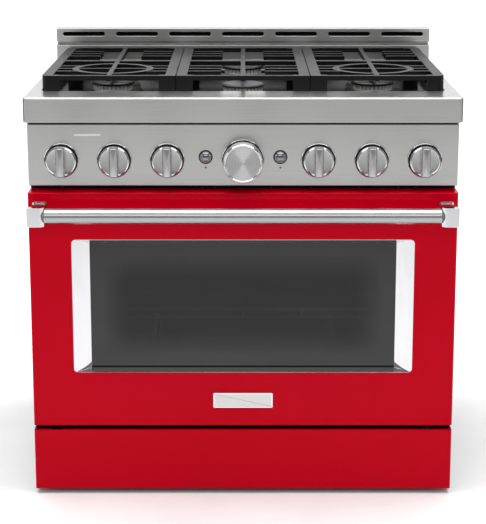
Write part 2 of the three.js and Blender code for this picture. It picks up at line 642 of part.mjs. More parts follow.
// A cast grate: flat side rails on four legs, a bar at each end and in the middle, a spine, and
// fingers that point at the burners. The outer grates carry a wok ring over the front burner.
function grate(centreX, hasRing) {
  const half = GRATE_W / 2;
  const bar = [GRATE_TOP - GRATE_BAR_H, GRATE_TOP];
  const rail = [GRATE_TOP - GRATE_RAIL_H, GRATE_TOP];
  const pieces = [-1, 1].map((side) => {
    return block(span(side, half - GRATE_RAIL_W, half), [GRATE_Y0, GRATE_Y1], rail);
  });
  pieces.push(
    wide(half, [GRATE_Y0, GRATE_Y0 + GRATE_BAR_W + 2], rail),
    wide(half, [GRATE_Y1 - GRATE_BAR_W - 2, GRATE_Y1], rail),
    wide(half - 1, [GRATE_MID - GRATE_BAR_W, GRATE_MID + GRATE_BAR_W], rail),
    wide(GRATE_BAR_W / 2, [GRATE_Y0 + 1, GRATE_Y1 - 1], bar),
  );
  for (const y of [GRATE_Y0, GRATE_Y1 - GRATE_LEG_Y]) {
    for (const side of [-1, 1]) {
      pieces.push(block(span(side, half - GRATE_LEG_X, half), [y, y + GRATE_LEG_Y], [BASIN.z + GAP, rail[1]]));
    }
  }
  for (const [row, burnerY] of Object.entries(BURNER_ROWS)) {
    const ringed = hasRing && row === 'front';
    for (const step of [-1, 0, 1]) {
      const fingerY = burnerY + step * FINGER_PITCH;
      const y = [fingerY - GRATE_BAR_W / 2, fingerY + GRATE_BAR_W / 2];
      const ringEdge = Math.sqrt((RING_R - RING_W / 2) ** 2 - (step * FINGER_PITCH) ** 2);
      const tip = ringed ? ringEdge : FINGER_TIP;
      for (const side of [-1, 1]) {
        const inner = ringed && step === 0 ? 0 : tip;
        pieces.push(block(span(side, inner, half - 1), y, bar));
      }
    }
    if (ringed) {
      const ring = cut(
        rod('z', RING_R, bar, { y: burnerY }, 24),
        rod('z', RING_R - RING_W, [bar[0] - 1, bar[1] + 1], { y: burnerY }, 24),
      );
      pieces.push(ring);
    }
  }
  const reach = BASIN.x - GRATE_CLEAR;
  const inBasin = roundedOutline([-reach, reach], [GRATE_Y0, GRATE_Y1], BASIN_R);
  const corners = prism('z', inBasin, [BASIN.z, GRATE_TOP]);
  return join(...pieces).translate([centreX, 0, 0]).intersect(corners);
}

// The backguard folds back under its slotted band, comes forward again and runs down behind the deck.
function backguard() {
  const top = DECK_Z + GUARD_H;
  const bandZ = top - GUARD_BAND;
  const grooveZ = bandZ - GUARD_GROOVE_H;
  const inner = GUARD_FACE + GUARD_GROOVE_D;
  const profile = (inset, bottom) => outline([
    [GUARD_FACE + inset, bottom], [REAR - inset, bottom], [REAR - inset, top - inset],
    [GUARD_FACE + inset, top - inset], [GUARD_FACE + inset, bandZ + inset], [inner + inset, bandZ + inset],
    [inner + inset, grooveZ - inset], [GUARD_FACE + inset, grooveZ - inset],
  ]);
  const shell = cut(
    prism('x', profile(0, FASCIA_Z), [-HALF, HALF]),
    prism('x', profile(SHEET, FASCIA_Z - 1), [-HALF + SHEET, HALF - SHEET]),
  );
  const vents = [];
  for (let vent = 0; vent < VENT_COUNT; vent += 1) {
    const x = (vent - (VENT_COUNT - 1) / 2) * VENT_PITCH;
    const z = top - VENT_DROP;
    const [w, h] = [VENT_W / 2, VENT_H / 2];
    const shape = roundedOutline([x - w, x + w], [z - h, z + h], h);
    vents.push(prism('y', shape, [GUARD_FACE - 1, GUARD_FACE + SHEET + 1], 3));
  }
  return cut(shell, ...vents);
}

// ---------------------------------------------------------------- controls

function knobPlaces() {
  return KNOB_X.flatMap((x) => [-x, x]).sort((a, b) => a - b);
}

function controlPanel() {
  const y = [PANEL_FACE, PANEL_BACK];
  const z = [PANEL_Z, FASCIA_Z - 2 * GAP];
  const shell = cut(
    wide(BODY_X, y, z),
    wide(BODY_X - SHEET, [y[0] + SHEET, y[1] + 1], [z[0] + SHEET, z[1] - SHEET]),
  );
  const through = [y[0] - 1, y[0] + SHEET + 1];
  const stemHoles = [...knobPlaces(), 0].map((x) => rod('y', STEM_R + RUN + 1, through, { x, z: KNOB_Z }, 10));
  const buttonHoles = [-BUTTON_X, BUTTON_X].map((x) => {
    return rod('y', BUTTON_R + RUN, through, { x, z: KNOB_Z + BUTTON_RISE }, 20);
  });
  return cut(shell, ...stemHoles, ...buttonHoles);
}

// The gas manifold with its valve bodies, the oven thermostat body and the supply pipe to the inlet.
function gasManifold() {
  const left = -KNOB_X[KNOB_X.length - 1] - PIPE_PAST_VALVE;
  const pipe = rod('x', PIPE_R, [left, SUPPLY_X], { y: PIPE_Y, z: KNOB_Z }, 10);
  const supply = rod('y', PIPE_R, [PIPE_Y - PIPE_R, REAR - INLET_LENGTH + 1], { x: SUPPLY_X, z: KNOB_Z }, 10);
  const inlet = rod('y', INLET_R, [REAR - INLET_LENGTH, REAR - 1], { x: SUPPLY_X, z: KNOB_Z }, 10);
  const bodies = [...knobPlaces(), 0].map((x) => rod('y', VALVE_R, [VALVE_FRONT, PIPE_Y], { x, z: KNOB_Z }, 10));
  const bores = [...knobPlaces(), 0].map((x) => {
    return rod('y', STEM_R + VALVE_CLEAR, [VALVE_FRONT - 1, VALVE_FRONT + VALVE_BORE], { x, z: KNOB_Z }, 8);
  });
  const mouth = rod('y', INLET_R - INLET_WALL, [REAR - INLET_MOUTH, REAR], { x: SUPPLY_X, z: KNOB_Z }, 10);
  return cut(join(pipe, supply, inlet, ...bodies), ...bores, mouth);
}

const KNOB_BACK = PANEL_FACE - KNOB_STANDOFF;
const STEM_TIP = KNOB_BACK - STEM_BORE + GAP;
const STEM_END = VALVE_FRONT + STEM_IN_VALVE;

const valveStem = (x) => rod('y', STEM_R, [STEM_TIP, STEM_END], { x, z: KNOB_Z }, 12);

// A round skirt with a straight grip bar across it; the bore behind takes the stem.
function burnerKnob(x) {
  const disc = turnedForward([
    [0, 0], [KNOB_R, 0], [KNOB_R, KNOB_DISC_T - 2], [KNOB_R - 2, KNOB_DISC_T], [0, KNOB_DISC_T],
  ], 24);
  const grip = rod('y', KNOB_R - 0.5, [-KNOB_DISC_T - KNOB_GRIP_H, -1], {}, 24)
    .intersect(wide(KNOB_GRIP_W / 2, [-100, 0], [-KNOB_R, KNOB_R]));
  const bore = rod('y', STEM_R + RUN, [-STEM_BORE, 1], {}, 12);
  return cut(join(disc, grip), bore).translate([x, KNOB_BACK, KNOB_Z]);
}

// The large oven knob, with its own shaft into the thermostat.
function ovenKnob() {
  const r = OVEN_KNOB_R;
  const head = turnedForward([
    [0, 0], [r, 0], [r, OVEN_KNOB_T - 5], [r - 1.5, OVEN_KNOB_T - 1], [r - 4, OVEN_KNOB_T],
    [r - 6, OVEN_KNOB_T - 1.5], [0, OVEN_KNOB_T - 1.5],
  ], 32).translate([0, KNOB_BACK, KNOB_Z]);
  return head.add(rod('y', STEM_R, [KNOB_BACK - 4, STEM_END], { z: KNOB_Z }, 16));
}

function button(x) {
  const profile = [
    [0, -BUTTON_BODY], [BUTTON_R, -BUTTON_BODY], [BUTTON_R, BUTTON_PROUD - 3], [BUTTON_R - 1.5, BUTTON_PROUD - 1],
    [BUTTON_R - 6, BUTTON_PROUD], [0, BUTTON_PROUD],
  ];
  return turnedForward(profile, 20).translate([x, PANEL_FACE, KNOB_Z + BUTTON_RISE]);
}

// ---------------------------------------------------------------- door

function windowBox(margin = 0) {
  return {
    x: [-WINDOW_W / 2 - margin, WINDOW_W / 2 + margin],
    z: [WINDOW_TOP - WINDOW_H - margin, WINDOW_TOP + margin],
  };
}

function throatBox(margin = 0) {
  const box = windowBox();
  return {
    x: [box.x[0] + TRIM_SIDE - margin, box.x[1] - TRIM_SIDE + margin],
    z: [box.z[0] + TRIM_BOTTOM - margin, box.z[1] - TRIM_TOP + margin],
  };
}

// The red outer skin: a pan whose edges turn back to the oven, with the window opening.
function doorPanel() {
  const shell = cut(
    wide(BODY_X, [FRONT, DOOR_BACK], [DOOR_Z, DOOR_TOP]),
    wide(BODY_X - SHEET, [FRONT + SHEET, DOOR_BACK + 1], [DOOR_Z + SHEET, DOOR_TOP - SHEET]),
  );
  const box = windowBox();
  const opening = prism('y', roundedOutline(box.x, box.z, WINDOW_R), [FRONT - 1, FRONT + SHEET + 1]);
  const slots = [-1, 1].map((side) => {
    const half = HINGE_ARM_T / 2 + 1;
    return block(span(side, HINGE_X - half, HINGE_X + half), [DOOR_BACK - HINGE_SLOT, DOOR_BACK - INNER_PANEL_T],
      [DOOR_Z - 1, DOOR_Z + SHEET + 1]);
  });
  return cut(shell, opening, ...slots);
}

// The polished funnel between the door skin and the glass, with a flange behind the skin.
function windowTrim() {
  const y = [FRONT + SHEET + GAP, FRONT + TRIM_DEPTH];
  const outer = windowBox(TRIM_T);
  const flange = windowBox(TRIM_FLANGE);
  const solid = join(
    funnel(outer, y[0], throatBox(TRIM_T), y[1]),
    block(flange.x, [y[0], y[0] + SHEET], flange.z),
  );
  return solid.subtract(funnel(windowBox(), FRONT, throatBox(), y[1] + 0.01));
}

function outerGlass() {
  const box = throatBox(GLASS_LAP);
  const y = FRONT + TRIM_DEPTH + GAP;
  return block(box.x, [y, y + GLASS_T], box.z);
}

function innerWindow(margin) {
  const top = DOOR_TOP - INNER_WINDOW_DROP;
  return { x: INNER_WINDOW_W / 2 + margin, z: [top - INNER_WINDOW_H - margin, top + margin] };
}

function doorInnerPanel() {
  const y = [DOOR_BACK - INNER_PANEL_T, DOOR_BACK];
  const inset = SHEET + GAP;
  const opening = innerWindow(0);
  return wide(BODY_X - inset, y, [DOOR_Z + inset, DOOR_TOP - inset])
    .subtract(wide(opening.x, [y[0] - 1, y[1] + 1], opening.z));
}

function innerGlass() {
  const box = innerWindow(GLASS_LAP);
  const y = DOOR_BACK - INNER_PANEL_T - GAP;
  return wide(box.x, [y - GLASS_T, y], box.z);
}

// A cranked arm: the pin at its lower end, a swan neck behind the kick panel and a tongue in the door.
function hingeArm(side) {
  const w = HINGE_ARM_W / 2;
  const tongueY = DOOR_BACK - INNER_PANEL_T - GLASS_T;
  const bend = { y: HINGE.y + NECK_BEND_Y, z: HINGE.z + NECK_BEND_Z };
  const neck = { y: HINGE.y + KICK_TOP - HINGE.z + NECK_CLEAR, z: HINGE.z + HINGE_BEHIND - KICK_SETBACK - w };
  const shape = outline([
    [HINGE.y + w, HINGE.z - w], [bend.y + w, bend.z - w], [tongueY, DOOR_Z + 4],
    [tongueY, DOOR_Z + HINGE_ARM_REACH], [tongueY - 2 * w, DOOR_Z + HINGE_ARM_REACH],
    [tongueY - 2 * w, DOOR_Z], [neck.y, neck.z], [HINGE.y - 1, HINGE.z + w + 1],
  ]);
  const x = span(side, HINGE_X - HINGE_ARM_T / 2, HINGE_X + HINGE_ARM_T / 2);
  const arm = prism('x', shape, x);
  const boss = rod('x', HINGE_BOSS_R, x, HINGE, 12);
  const pin = rod('x', HINGE_PIN_R, span(side, HINGE_X - EAR_OUT, HINGE_X + EAR_OUT), HINGE, 12);
  return join(arm, boss, pin);
}

const BAR_HALF = HANDLE_LENGTH / 2 - BRACKET_W;

const handleBar = () => rod('x', HANDLE_R, [-BAR_HALF + GAP, BAR_HALF - GAP], { y: HANDLE_Y, z: HANDLE_Z }, 32);

// An end bracket: a block that carries the bar, chamfered towards it, on a post from the door.
function handleBracket(side) {
  const front = FRONT - HANDLE_REACH;
  const back = front + BRACKET_T;
  const [c, inner, outer] = [BRACKET_CHAMFER, BAR_HALF, HANDLE_LENGTH / 2];
  const shape = outline([
    [inner, back], [inner, front + c], [inner + c, front], [outer, front], [outer, back],
  ].map(([x, y]) => [side * x, y]));
  const z = [HANDLE_Z - BRACKET_H / 2, HANDLE_Z + BRACKET_H / 2];
  const head = prism('z', shape, z);
  const middle = side * ((inner + outer) / 2);
  const post = block([middle - POST_W / 2, middle + POST_W / 2], [back - 1, FRONT - GAP],
    [HANDLE_Z - POST_H / 2, HANDLE_Z + POST_H / 2]);
  return head.add(post);
}

// ---------------------------------------------------------------- assembly

place('base_pan', 'galvanised', basePan());
for (const [index, [x, y]] of footPlaces().entries()) {
  const name = ['front_left', 'front_right', 'rear_left', 'rear_right'][index];
  place(`foot_${name}`, 'galvanised', foot()).position.set(x, y, 0);
}
place('side_panel_left', 'sideEnamel', sidePanel(-1));
place('side_panel_right', 'sideEnamel', sidePanel(1));
place('rear_panel', 'galvanised', rearPanel());
place('kick_panel', 'redEnamel', kickPanel());

place('oven_liner', 'oven', ovenLiner());
place('rack_lower', 'chrome', rack(RACK_LOWER_RIB));
place('rack_upper', 'chrome', rack(RACK_UPPER_RIB));
place('bake_burner', 'galvanised', bakeBurner());
place('broil_burner', 'galvanised', broilBurner());
place('fan_cover', 'oven', fanCover());
place('convection_fan', 'aluminium', convectionFan());

place('cooktop', 'steel', cooktop());
place('backguard', 'steel', backguard());
for (const { name, x, y } of burnerPlaces()) {
  place(`burner_head_${name}`, 'aluminium', burnerHead(name)).position.set(x, y, 0);
  place(`burner_cap_${name}`, 'castIron', burnerCap(name)).position.set(x, y, 0);
}
for (const [column, x] of Object.entries(COLUMNS)) {
  place(`grate_${column}`, 'castIron', grate(x, column !== 'centre'));
}

place('control_panel', 'steel', controlPanel());
place('gas_manifold', 'brass', gasManifold());
for (const [index, x] of knobPlaces().entries()) {
  place(`valve_stem_${index + 1}`, 'brass', valveStem(x));
  place(`burner_knob_${index + 1}`, 'chrome', burnerKnob(x));
}
place('oven_knob', 'chrome', ovenKnob());
place('button_left', 'chrome', button(-BUTTON_X));
place('button_right', 'chrome', button(BUTTON_X));

place('door_panel', 'redEnamel', doorPanel());
place('window_trim', 'chrome', windowTrim());
place('outer_glass', 'glass', outerGlass());
place('door_inner_panel', 'oven', doorInnerPanel());
place('inner_glass', 'glass', innerGlass());
place('handle_bar', 'steel', handleBar());
for (const [name, side] of [['left', -1], ['right', 1]]) {
  place(`handle_bracket_${name}`, 'chrome', handleBracket(side));
  place(`door_hinge_${name}`, 'galvanised', hingeArm(side));
}

export default range;
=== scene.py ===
"""Looks of a freestanding six-burner gas range with a red door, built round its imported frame.

Metres, +Z up, the door faces -Y. Each sub-assembly is a class that takes its places from the frame.
"""

import logging
import math
from collections.abc import Callable, Iterator
from contextlib import contextmanager
from dataclasses import dataclass
from enum import Enum

import bmesh
import bpy
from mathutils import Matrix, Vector


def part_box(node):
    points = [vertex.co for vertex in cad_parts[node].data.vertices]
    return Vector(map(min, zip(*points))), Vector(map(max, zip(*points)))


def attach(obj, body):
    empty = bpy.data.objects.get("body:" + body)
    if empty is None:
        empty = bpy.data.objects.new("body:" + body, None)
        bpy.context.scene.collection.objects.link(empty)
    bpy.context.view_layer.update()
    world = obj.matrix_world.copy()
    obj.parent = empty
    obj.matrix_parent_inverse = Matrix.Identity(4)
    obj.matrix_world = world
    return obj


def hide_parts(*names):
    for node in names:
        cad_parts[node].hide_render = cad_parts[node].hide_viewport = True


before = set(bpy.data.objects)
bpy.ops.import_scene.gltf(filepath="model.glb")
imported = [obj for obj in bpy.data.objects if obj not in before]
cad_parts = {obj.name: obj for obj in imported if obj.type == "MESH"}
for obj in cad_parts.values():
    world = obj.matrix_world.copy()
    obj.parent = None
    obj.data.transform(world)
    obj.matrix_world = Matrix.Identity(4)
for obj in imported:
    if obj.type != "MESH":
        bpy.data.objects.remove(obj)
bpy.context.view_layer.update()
LOG = logging.getLogger("range")

MM = 0.001
SHEET = 2 * MM
TINY = 0.05 * MM
UP = Vector((0, 0, 1))

Piece = bpy.types.Object
Test = Callable[[Vector, Vector], bool]


class Axis(Enum):
    """The line that a turned or round piece is made about."""

    ACROSS = (1, 0, 0)
    FORWARD = (0, -1, 0)
    UP = (0, 0, 1)


class Joining(Enum):
    """How a second solid changes the first."""

    CUT = "DIFFERENCE"
    FUSE = "UNION"
    KEEP_COMMON = "INTERSECT"


class Body(Enum):
    """The moving bodies that most pieces ride on."""

    RANGE = "range_body"
    DOOR = "door"


# ---------------------------------------------------------------- workshop


def activate(piece: Piece) -> None:
    """Makes a piece the only selected and active object."""
    bpy.ops.object.select_all(action="DESELECT")
    piece.select_set(True)
    bpy.context.view_layer.objects.active = piece


@contextmanager
def editing(piece: Piece, select: str = "FACE") -> Iterator[None]:
    """Opens a piece in edit mode with everything deselected, and closes it again.

    Args:
        piece: The mesh to edit.
        select: VERT, EDGE or FACE.
    """
    activate(piece)
    bpy.ops.object.mode_set(mode="EDIT")
    bpy.ops.mesh.select_mode(type=select)
    bpy.ops.mesh.select_all(action="DESELECT")
    yield
    bpy.ops.object.mode_set(mode="OBJECT")


def pick_faces(piece: Piece, wanted: Test) -> None:
    """Selects the faces of a piece in edit mode whose centre and normal pass a test."""
    mesh = bmesh.from_edit_mesh(piece.data)
    for face in mesh.faces:
        face.select_set(wanted(face.calc_center_median(), face.normal))
    bmesh.update_edit_mesh(piece.data)


def pick_edges(piece: Piece, wanted: Test) -> None:
    """Selects the edges of a piece in edit mode whose middle and direction pass a test."""
    mesh = bmesh.from_edit_mesh(piece.data)
    for edge in mesh.edges:
        start, end = (vertex.co for vertex in edge.verts)
        edge.select_set(wanted((start + end) / 2, (end - start).normalized()))
    bmesh.update_edit_mesh(piece.data)


def along(axis: Axis) -> Test:
    """A test for edges that run along an axis."""
    line = Vector(axis.value)
    return lambda _, direction: abs(direction.dot(line)) > 0.99


def seat(piece: Piece, name: str) -> Piece:
    """Puts a new primitive's place, turn and size into its mesh and names it."""
    bpy.ops.object.transform_apply(location=True, rotation=True, scale=True)
    piece.name = piece.data.name = name
    return piece


def block(name: str, low: tuple, high: tuple) -> Piece:
    """A square-edged block between two corners, in metres."""
    bpy.ops.object.select_all(action="DESELECT")
    low, high = Vector(low), Vector(high)
    bpy.ops.mesh.primitive_cube_add(size=1, location=(low + high) / 2, scale=high - low)
    return seat(bpy.context.object, name)


def plate(name: str, centre: tuple, size: tuple, upright: bool = False) -> Piece:
    """A flat rectangle, lying down or standing up across the range.

    Args:
        name: The piece's name.
        centre: Its centre, in metres.
        size: Its width, and its depth or height.
        upright: Whether it stands.

    Returns:
        The flat piece.
    """
    bpy.ops.object.select_all(action="DESELECT")
    bpy.ops.mesh.primitive_plane_add(size=1, rotation=(math.pi / 2 if upright else 0, 0, 0))
    piece = seat(bpy.context.object, name)
    with editing(piece, "VERT"):
        bpy.ops.mesh.select_all(action="SELECT")
        bpy.ops.transform.resize(value=(size[0], 1, size[1]) if upright else (size[0], size[1], 1))
        bpy.ops.transform.translate(value=Vector(centre))
    return piece


def rod(name: str, radius: float, start: tuple, end: tuple, sides: int = 32) -> Piece:
    """A round bar between two points, in metres."""
    bpy.ops.object.select_all(action="DESELECT")
    start, end = Vector(start), Vector(end)
    line = end - start
    turn = UP.rotation_difference(line).to_euler()
    bpy.ops.mesh.primitive_cylinder_add(
        vertices=sides, radius=radius, depth=line.length, location=(start + end) / 2, rotation=turn
    )
    return seat(bpy.context.object, name)


def turned(name: str, outline: list, centre: tuple, axis: Axis = Axis.UP, steps: int = 64) -> Piece:
    """Spins an outline about an axis, as on a lathe.

    Args:
        name: The piece's name.
        outline: (radius, height) points in millimetres, the height measured along the axis.
        centre: A point on the axis, in metres.
        axis: The lathe's axis.
        steps: Facets round the piece.

    Returns:
        The closed piece with its normals outwards.
    """
    line = Vector(axis.value)
    side = Vector((1, 0, 0)) if axis is not Axis.ACROSS else UP
    points = [Vector(centre) + side * (radius * MM) + line * (height * MM) for radius, height in outline]
    bpy.ops.object.select_all(action="DESELECT")
    bpy.ops.mesh.primitive_plane_add(size=MM)
    piece = bpy.context.object
    piece.name = piece.data.name = name
    with editing(piece, "VERT"):
        bpy.ops.mesh.select_all(action="SELECT")
        bpy.ops.mesh.merge(type="CENTER")
        bpy.ops.transform.translate(value=points[0])
        for start, end in zip(points, points[1:]):
            bpy.ops.mesh.extrude_region_move(TRANSFORM_OT_translate={"value": end - start})
        bpy.ops.mesh.select_all(action="SELECT")
        bpy.ops.mesh.spin(steps=steps, angle=math.tau, center=centre, axis=line)
        bpy.ops.mesh.select_all(action="SELECT")
        bpy.ops.mesh.remove_doubles(threshold=TINY / 5)
        bpy.ops.mesh.normals_make_consistent(inside=False)
    return piece


def round_edges(piece: Piece, wanted: Test, radius: float, segments: int = 6) -> Piece:
    """Rounds the edges of a piece that pass a test, or chamfers them with one segment."""
    with editing(piece, "EDGE"):
        pick_edges(piece, wanted)
        bpy.ops.mesh.bevel(offset=radius, segments=segments, affect="EDGES")
    return piece


def soften(piece: Piece, width: float, segments: int = 2, angle: float = 35) -> Piece:
    """Breaks every sharp edge of a piece by a small width, and shades it smooth."""
    activate(piece)
    bevel = piece.modifiers.new("broken edges", "BEVEL")
    bevel.width = width
    bevel.segments = segments
    bevel.limit_method = "ANGLE"
    bevel.angle_limit = math.radians(angle)
    bpy.ops.object.modifier_apply(modifier=bevel.name)
    bpy.ops.object.shade_smooth_by_angle(angle=math.radians(angle))
    flat = piece.modifiers.new("flat faces", "WEIGHTED_NORMAL")
    flat.weight = 100
    flat.keep_sharp = True
    bpy.ops.object.modifier_apply(modifier=flat.name)
    return piece


def smooth(piece: Piece, angle: float = 35) -> Piece:
    """Shades a piece smooth except over its sharp edges."""
    activate(piece)
    bpy.ops.object.shade_smooth_by_angle(angle=math.radians(angle))
    return piece


def shape(piece: Piece, tool: Piece, joining: Joining = Joining.CUT, crossing: bool = False) -> Piece:
    """Cuts, fuses or intersects a piece with another, which is used up.

    Args:
        piece: The piece that stays.
        tool: The solid that changes it.
        joining: What is done with the tool.
        crossing: Whether either of them crosses itself.

    Returns:
        The changed piece.
    """
    activate(piece)
    change = piece.modifiers.new("shape", "BOOLEAN")
    change.operation = joining.value
    change.solver = "EXACT"
    change.use_self = crossing
    change.object = tool
    bpy.ops.object.modifier_apply(modifier=change.name)
    bpy.data.objects.remove(tool)
    return piece


def gather(pieces: list, name: str) -> Piece:
    """Joins several meshes into one object without fusing them."""
    activate(pieces[0])
    for piece in pieces[1:]:
        piece.select_set(True)
    if len(pieces) > 1:
        bpy.ops.object.join()
    pieces[0].name = pieces[0].data.name = name
    return pieces[0]


def copy_to(piece: Piece, name: str, offset: tuple) -> Piece:
    """A copy of a piece with its own mesh, moved by an offset in metres."""
    twin = piece.copy()
    twin.data = piece.data.copy()
    twin.name = twin.data.name = name
    bpy.context.collection.objects.link(twin)
    with editing(twin, "VERT"):
        bpy.ops.mesh.select_all(action="SELECT")
        bpy.ops.transform.translate(value=Vector(offset))
    return twin


def paint_faces(piece: Piece, material: bpy.types.Material, wanted: Test) -> None:
    """Gives the faces that pass a test a further material."""
    piece.data.materials.append(material)
    index = len(piece.data.materials) - 1
    for face in piece.data.polygons:
        if wanted(face.center, face.normal):
            face.material_index = index


def box(node: str) -> tuple[Vector, Vector]:
    """The corners of a CAD node."""
    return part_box(node)


def middle(node: str) -> Vector:
    """The centre of a CAD node's box."""
    low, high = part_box(node)
    return (low + high) / 2


# ---------------------------------------------------------------- finishes


def linear(hex_colour: str) -> tuple[float, float, float, float]:
    """An sRGB hex colour as linear red, green, blue and a full alpha."""
    channels = [int(hex_colour[at : at + 2], 16) / 255 for at in (1, 3, 5)]
    lit = [c / 12.92 if c <= 0.04045 else ((c + 0.055) / 1.055) ** 2.4 for c in channels]
    return (*lit, 1.0)


def add(tree: bpy.types.NodeTree, kind: str, settings: dict | None = None, inputs: dict | None = None):
    """Adds a node.

    Args:
        tree: The node tree that gets it.
        kind: The node's type.
        settings: Its properties by name.
        inputs: Its inputs by name or number, each a plain value or the output that feeds it.

    Returns:
        The node.
    """
    node = tree.nodes.new(kind)
    for name, value in (settings or {}).items():
        setattr(node, name, value)
    for name, value in (inputs or {}).items():
        if isinstance(value, bpy.types.NodeSocket):
            tree.links.new(value, node.inputs[name])
        else:
            node.inputs[name].default_value = value
    return node


def ramp(tree: bpy.types.NodeTree, factor, stops: list):
    """A colour ramp through (place, colour) stops. Returns its colour output."""
    node = add(tree, "ShaderNodeValToRGB", inputs={"Fac": factor})
    while len(node.color_ramp.elements) < len(stops):
        node.color_ramp.elements.new(0.5)
    for element, (place, colour) in zip(node.color_ramp.elements, stops):
        element.position = place
        element.color = colour
    return node.outputs["Color"]


def per(size_mm: float) -> float:
    """The scale that gives a pattern features of a size in millimetres."""
    return 1 / (size_mm * MM)


@dataclass(frozen=True)
class Finish:
    """A material: its shader's plain values, and the patterns that a subclass draws on it."""

    name: str
    colour: str
    roughness: float
    metallic: float = 0.0
    specular: float = 0.5
    coat: float = 0.0

    def made(self) -> bpy.types.Material:
        """The Blender material, made once."""
        known = bpy.data.materials.get(self.name)
        if known:
            return known
        material = bpy.data.materials.new(self.name)
        material.use_nodes = True
        tree = material.node_tree
        tree.nodes.clear()
        shader = add(
            tree,
            "ShaderNodeBsdfPrincipled",
            inputs={
                "Base Color": linear(self.colour),
                "Roughness": self.roughness,
                "Metallic": self.metallic,
                "Specular IOR Level": self.specular,
                "Coat Weight": self.coat,
                "Coat Roughness": 0.04,
            },
        )
        where = add(tree, "ShaderNodeTexCoord").outputs["Object"]
        self.draw(tree, shader, where)
        add(tree, "ShaderNodeOutputMaterial", inputs={"Surface": shader.outputs[0]})
        return material

    def draw(self, tree: bpy.types.NodeTree, shader, where) -> None:
        """Draws the finish's patterns. A plain finish has none."""

    def vary_roughness(self, tree, shader, pattern, spread: float) -> None:
        """Lets a 0 to 1 pattern move the roughness up and down by a spread."""
        moved = add(
            tree,
            "ShaderNodeMapRange",
            inputs={"Value": pattern, "To Min": self.roughness - spread, "To Max": self.roughness + spread},
        )
        tree.links.new(moved.outputs[0], shader.inputs["Roughness"])

    def vary_colour(self, tree, shader, pattern, darkest: float) -> None:
        """Lets a 0 to 1 pattern darken the colour to a share of itself."""
        full = linear(self.colour)
        low = (*(channel * darkest for channel in full[:3]), 1.0)
        tree.links.new(ramp(tree, pattern, [(0.25, low), (0.75, full)]), shader.inputs["Base Color"])

    def raise_surface(self, tree, shader, pattern, depth_mm: float, strength: float = 1.0) -> None:
        """Lets a 0 to 1 pattern stand out of the surface by a depth."""
        bump = add(
            tree,
            "ShaderNodeBump",
            inputs={"Height": pattern, "Distance": depth_mm * MM, "Strength": strength},
        )
        tree.links.new(bump.outputs[0], shader.inputs["Normal"])


@dataclass(frozen=True)
class BrushedSteel(Finish):
    """Stainless sheet drawn along a belt: long scratches that spread reflections across them.

    Real scratches are 0.05 mm wide; they are drawn as coarse as the render can show.
    """

    scratch_mm: float = 1.6
    scratch_length_mm: float = 170
    grain: Axis = Axis.ACROSS

    def draw(self, tree, shader, where) -> None:
        """Stretches noise along the grain, and lays a cloudy haze of rolling marks over it."""
        scale = [per(self.scratch_length_mm if run else self.scratch_mm) for run in self.grain.value]
        stretched = add(tree, "ShaderNodeMapping", inputs={"Vector": where, "Scale": scale})
        scratches = add(
            tree,
            "ShaderNodeTexNoise",
            inputs={"Vector": stretched.outputs[0], "Scale": 1.0, "Detail": 5.0, "Roughness": 0.65},
        ).outputs["Fac"]
        haze = add(
            tree, "ShaderNodeTexNoise", inputs={"Vector": where, "Scale": per(140), "Detail": 3.0}
        ).outputs["Fac"]
        both = add(
            tree, "ShaderNodeMath", {"operation": "MULTIPLY_ADD"}, {0: haze, 1: 0.45, 2: scratches}
        ).outputs[0]
        self.vary_roughness(tree, shader, haze, 0.05)
        self.vary_colour(tree, shader, both, 0.86)
        self.raise_surface(tree, shader, scratches, 0.05, 0.5)


@dataclass(frozen=True)
class SpunSteel(Finish):
    """Steel turned on a lathe: fine rings about a knob's axis give it a bow-tie of light."""

    centre: tuple = (0.0, 0.0, 0.0)
    ring_mm: float = 0.9
    spread: float = 0.97

    def draw(self, tree, shader, where) -> None:
        """Draws rings about the Y axis through the centre."""
        back = tuple(-place for place in self.centre)
        moved = add(tree, "ShaderNodeMapping", inputs={"Vector": where, "Location": back})
        rings = add(
            tree,
            "ShaderNodeTexWave",
            {"wave_type": "RINGS", "rings_direction": "Y", "wave_profile": "SIN"},
            {"Vector": moved.outputs[0], "Scale": per(self.ring_mm) / 20, "Distortion": 0.6, "Detail": 2.0},
        ).outputs["Fac"]
        self.vary_colour(tree, shader, rings, 0.93)
        self.raise_surface(tree, shader, rings, 0.02, 0.3)
        round_axis = add(tree, "ShaderNodeTangent", {"direction_type": "RADIAL", "axis": "Y"})
        tree.links.new(round_axis.outputs[0], shader.inputs["Tangent"])
        shader.inputs["Anisotropic"].default_value = self.spread
        shader.inputs["Anisotropic Rotation"].default_value = 0.25


@dataclass(frozen=True)
class Polished(Finish):
    """Bright chromium plate or polished steel: a mirror with a faint buffing haze."""

    def draw(self, tree, shader, where) -> None:
        """Lets wiped-on haze move the roughness, with a very slight ripple in the plate."""
        haze = add(
            tree, "ShaderNodeTexNoise", inputs={"Vector": where, "Scale": per(45), "Detail": 4.0}
        ).outputs["Fac"]
        self.vary_roughness(tree, shader, haze, self.roughness * 0.5)
        self.vary_colour(tree, shader, haze, 0.95)
        self.raise_surface(tree, shader, haze, 0.02, 0.3)


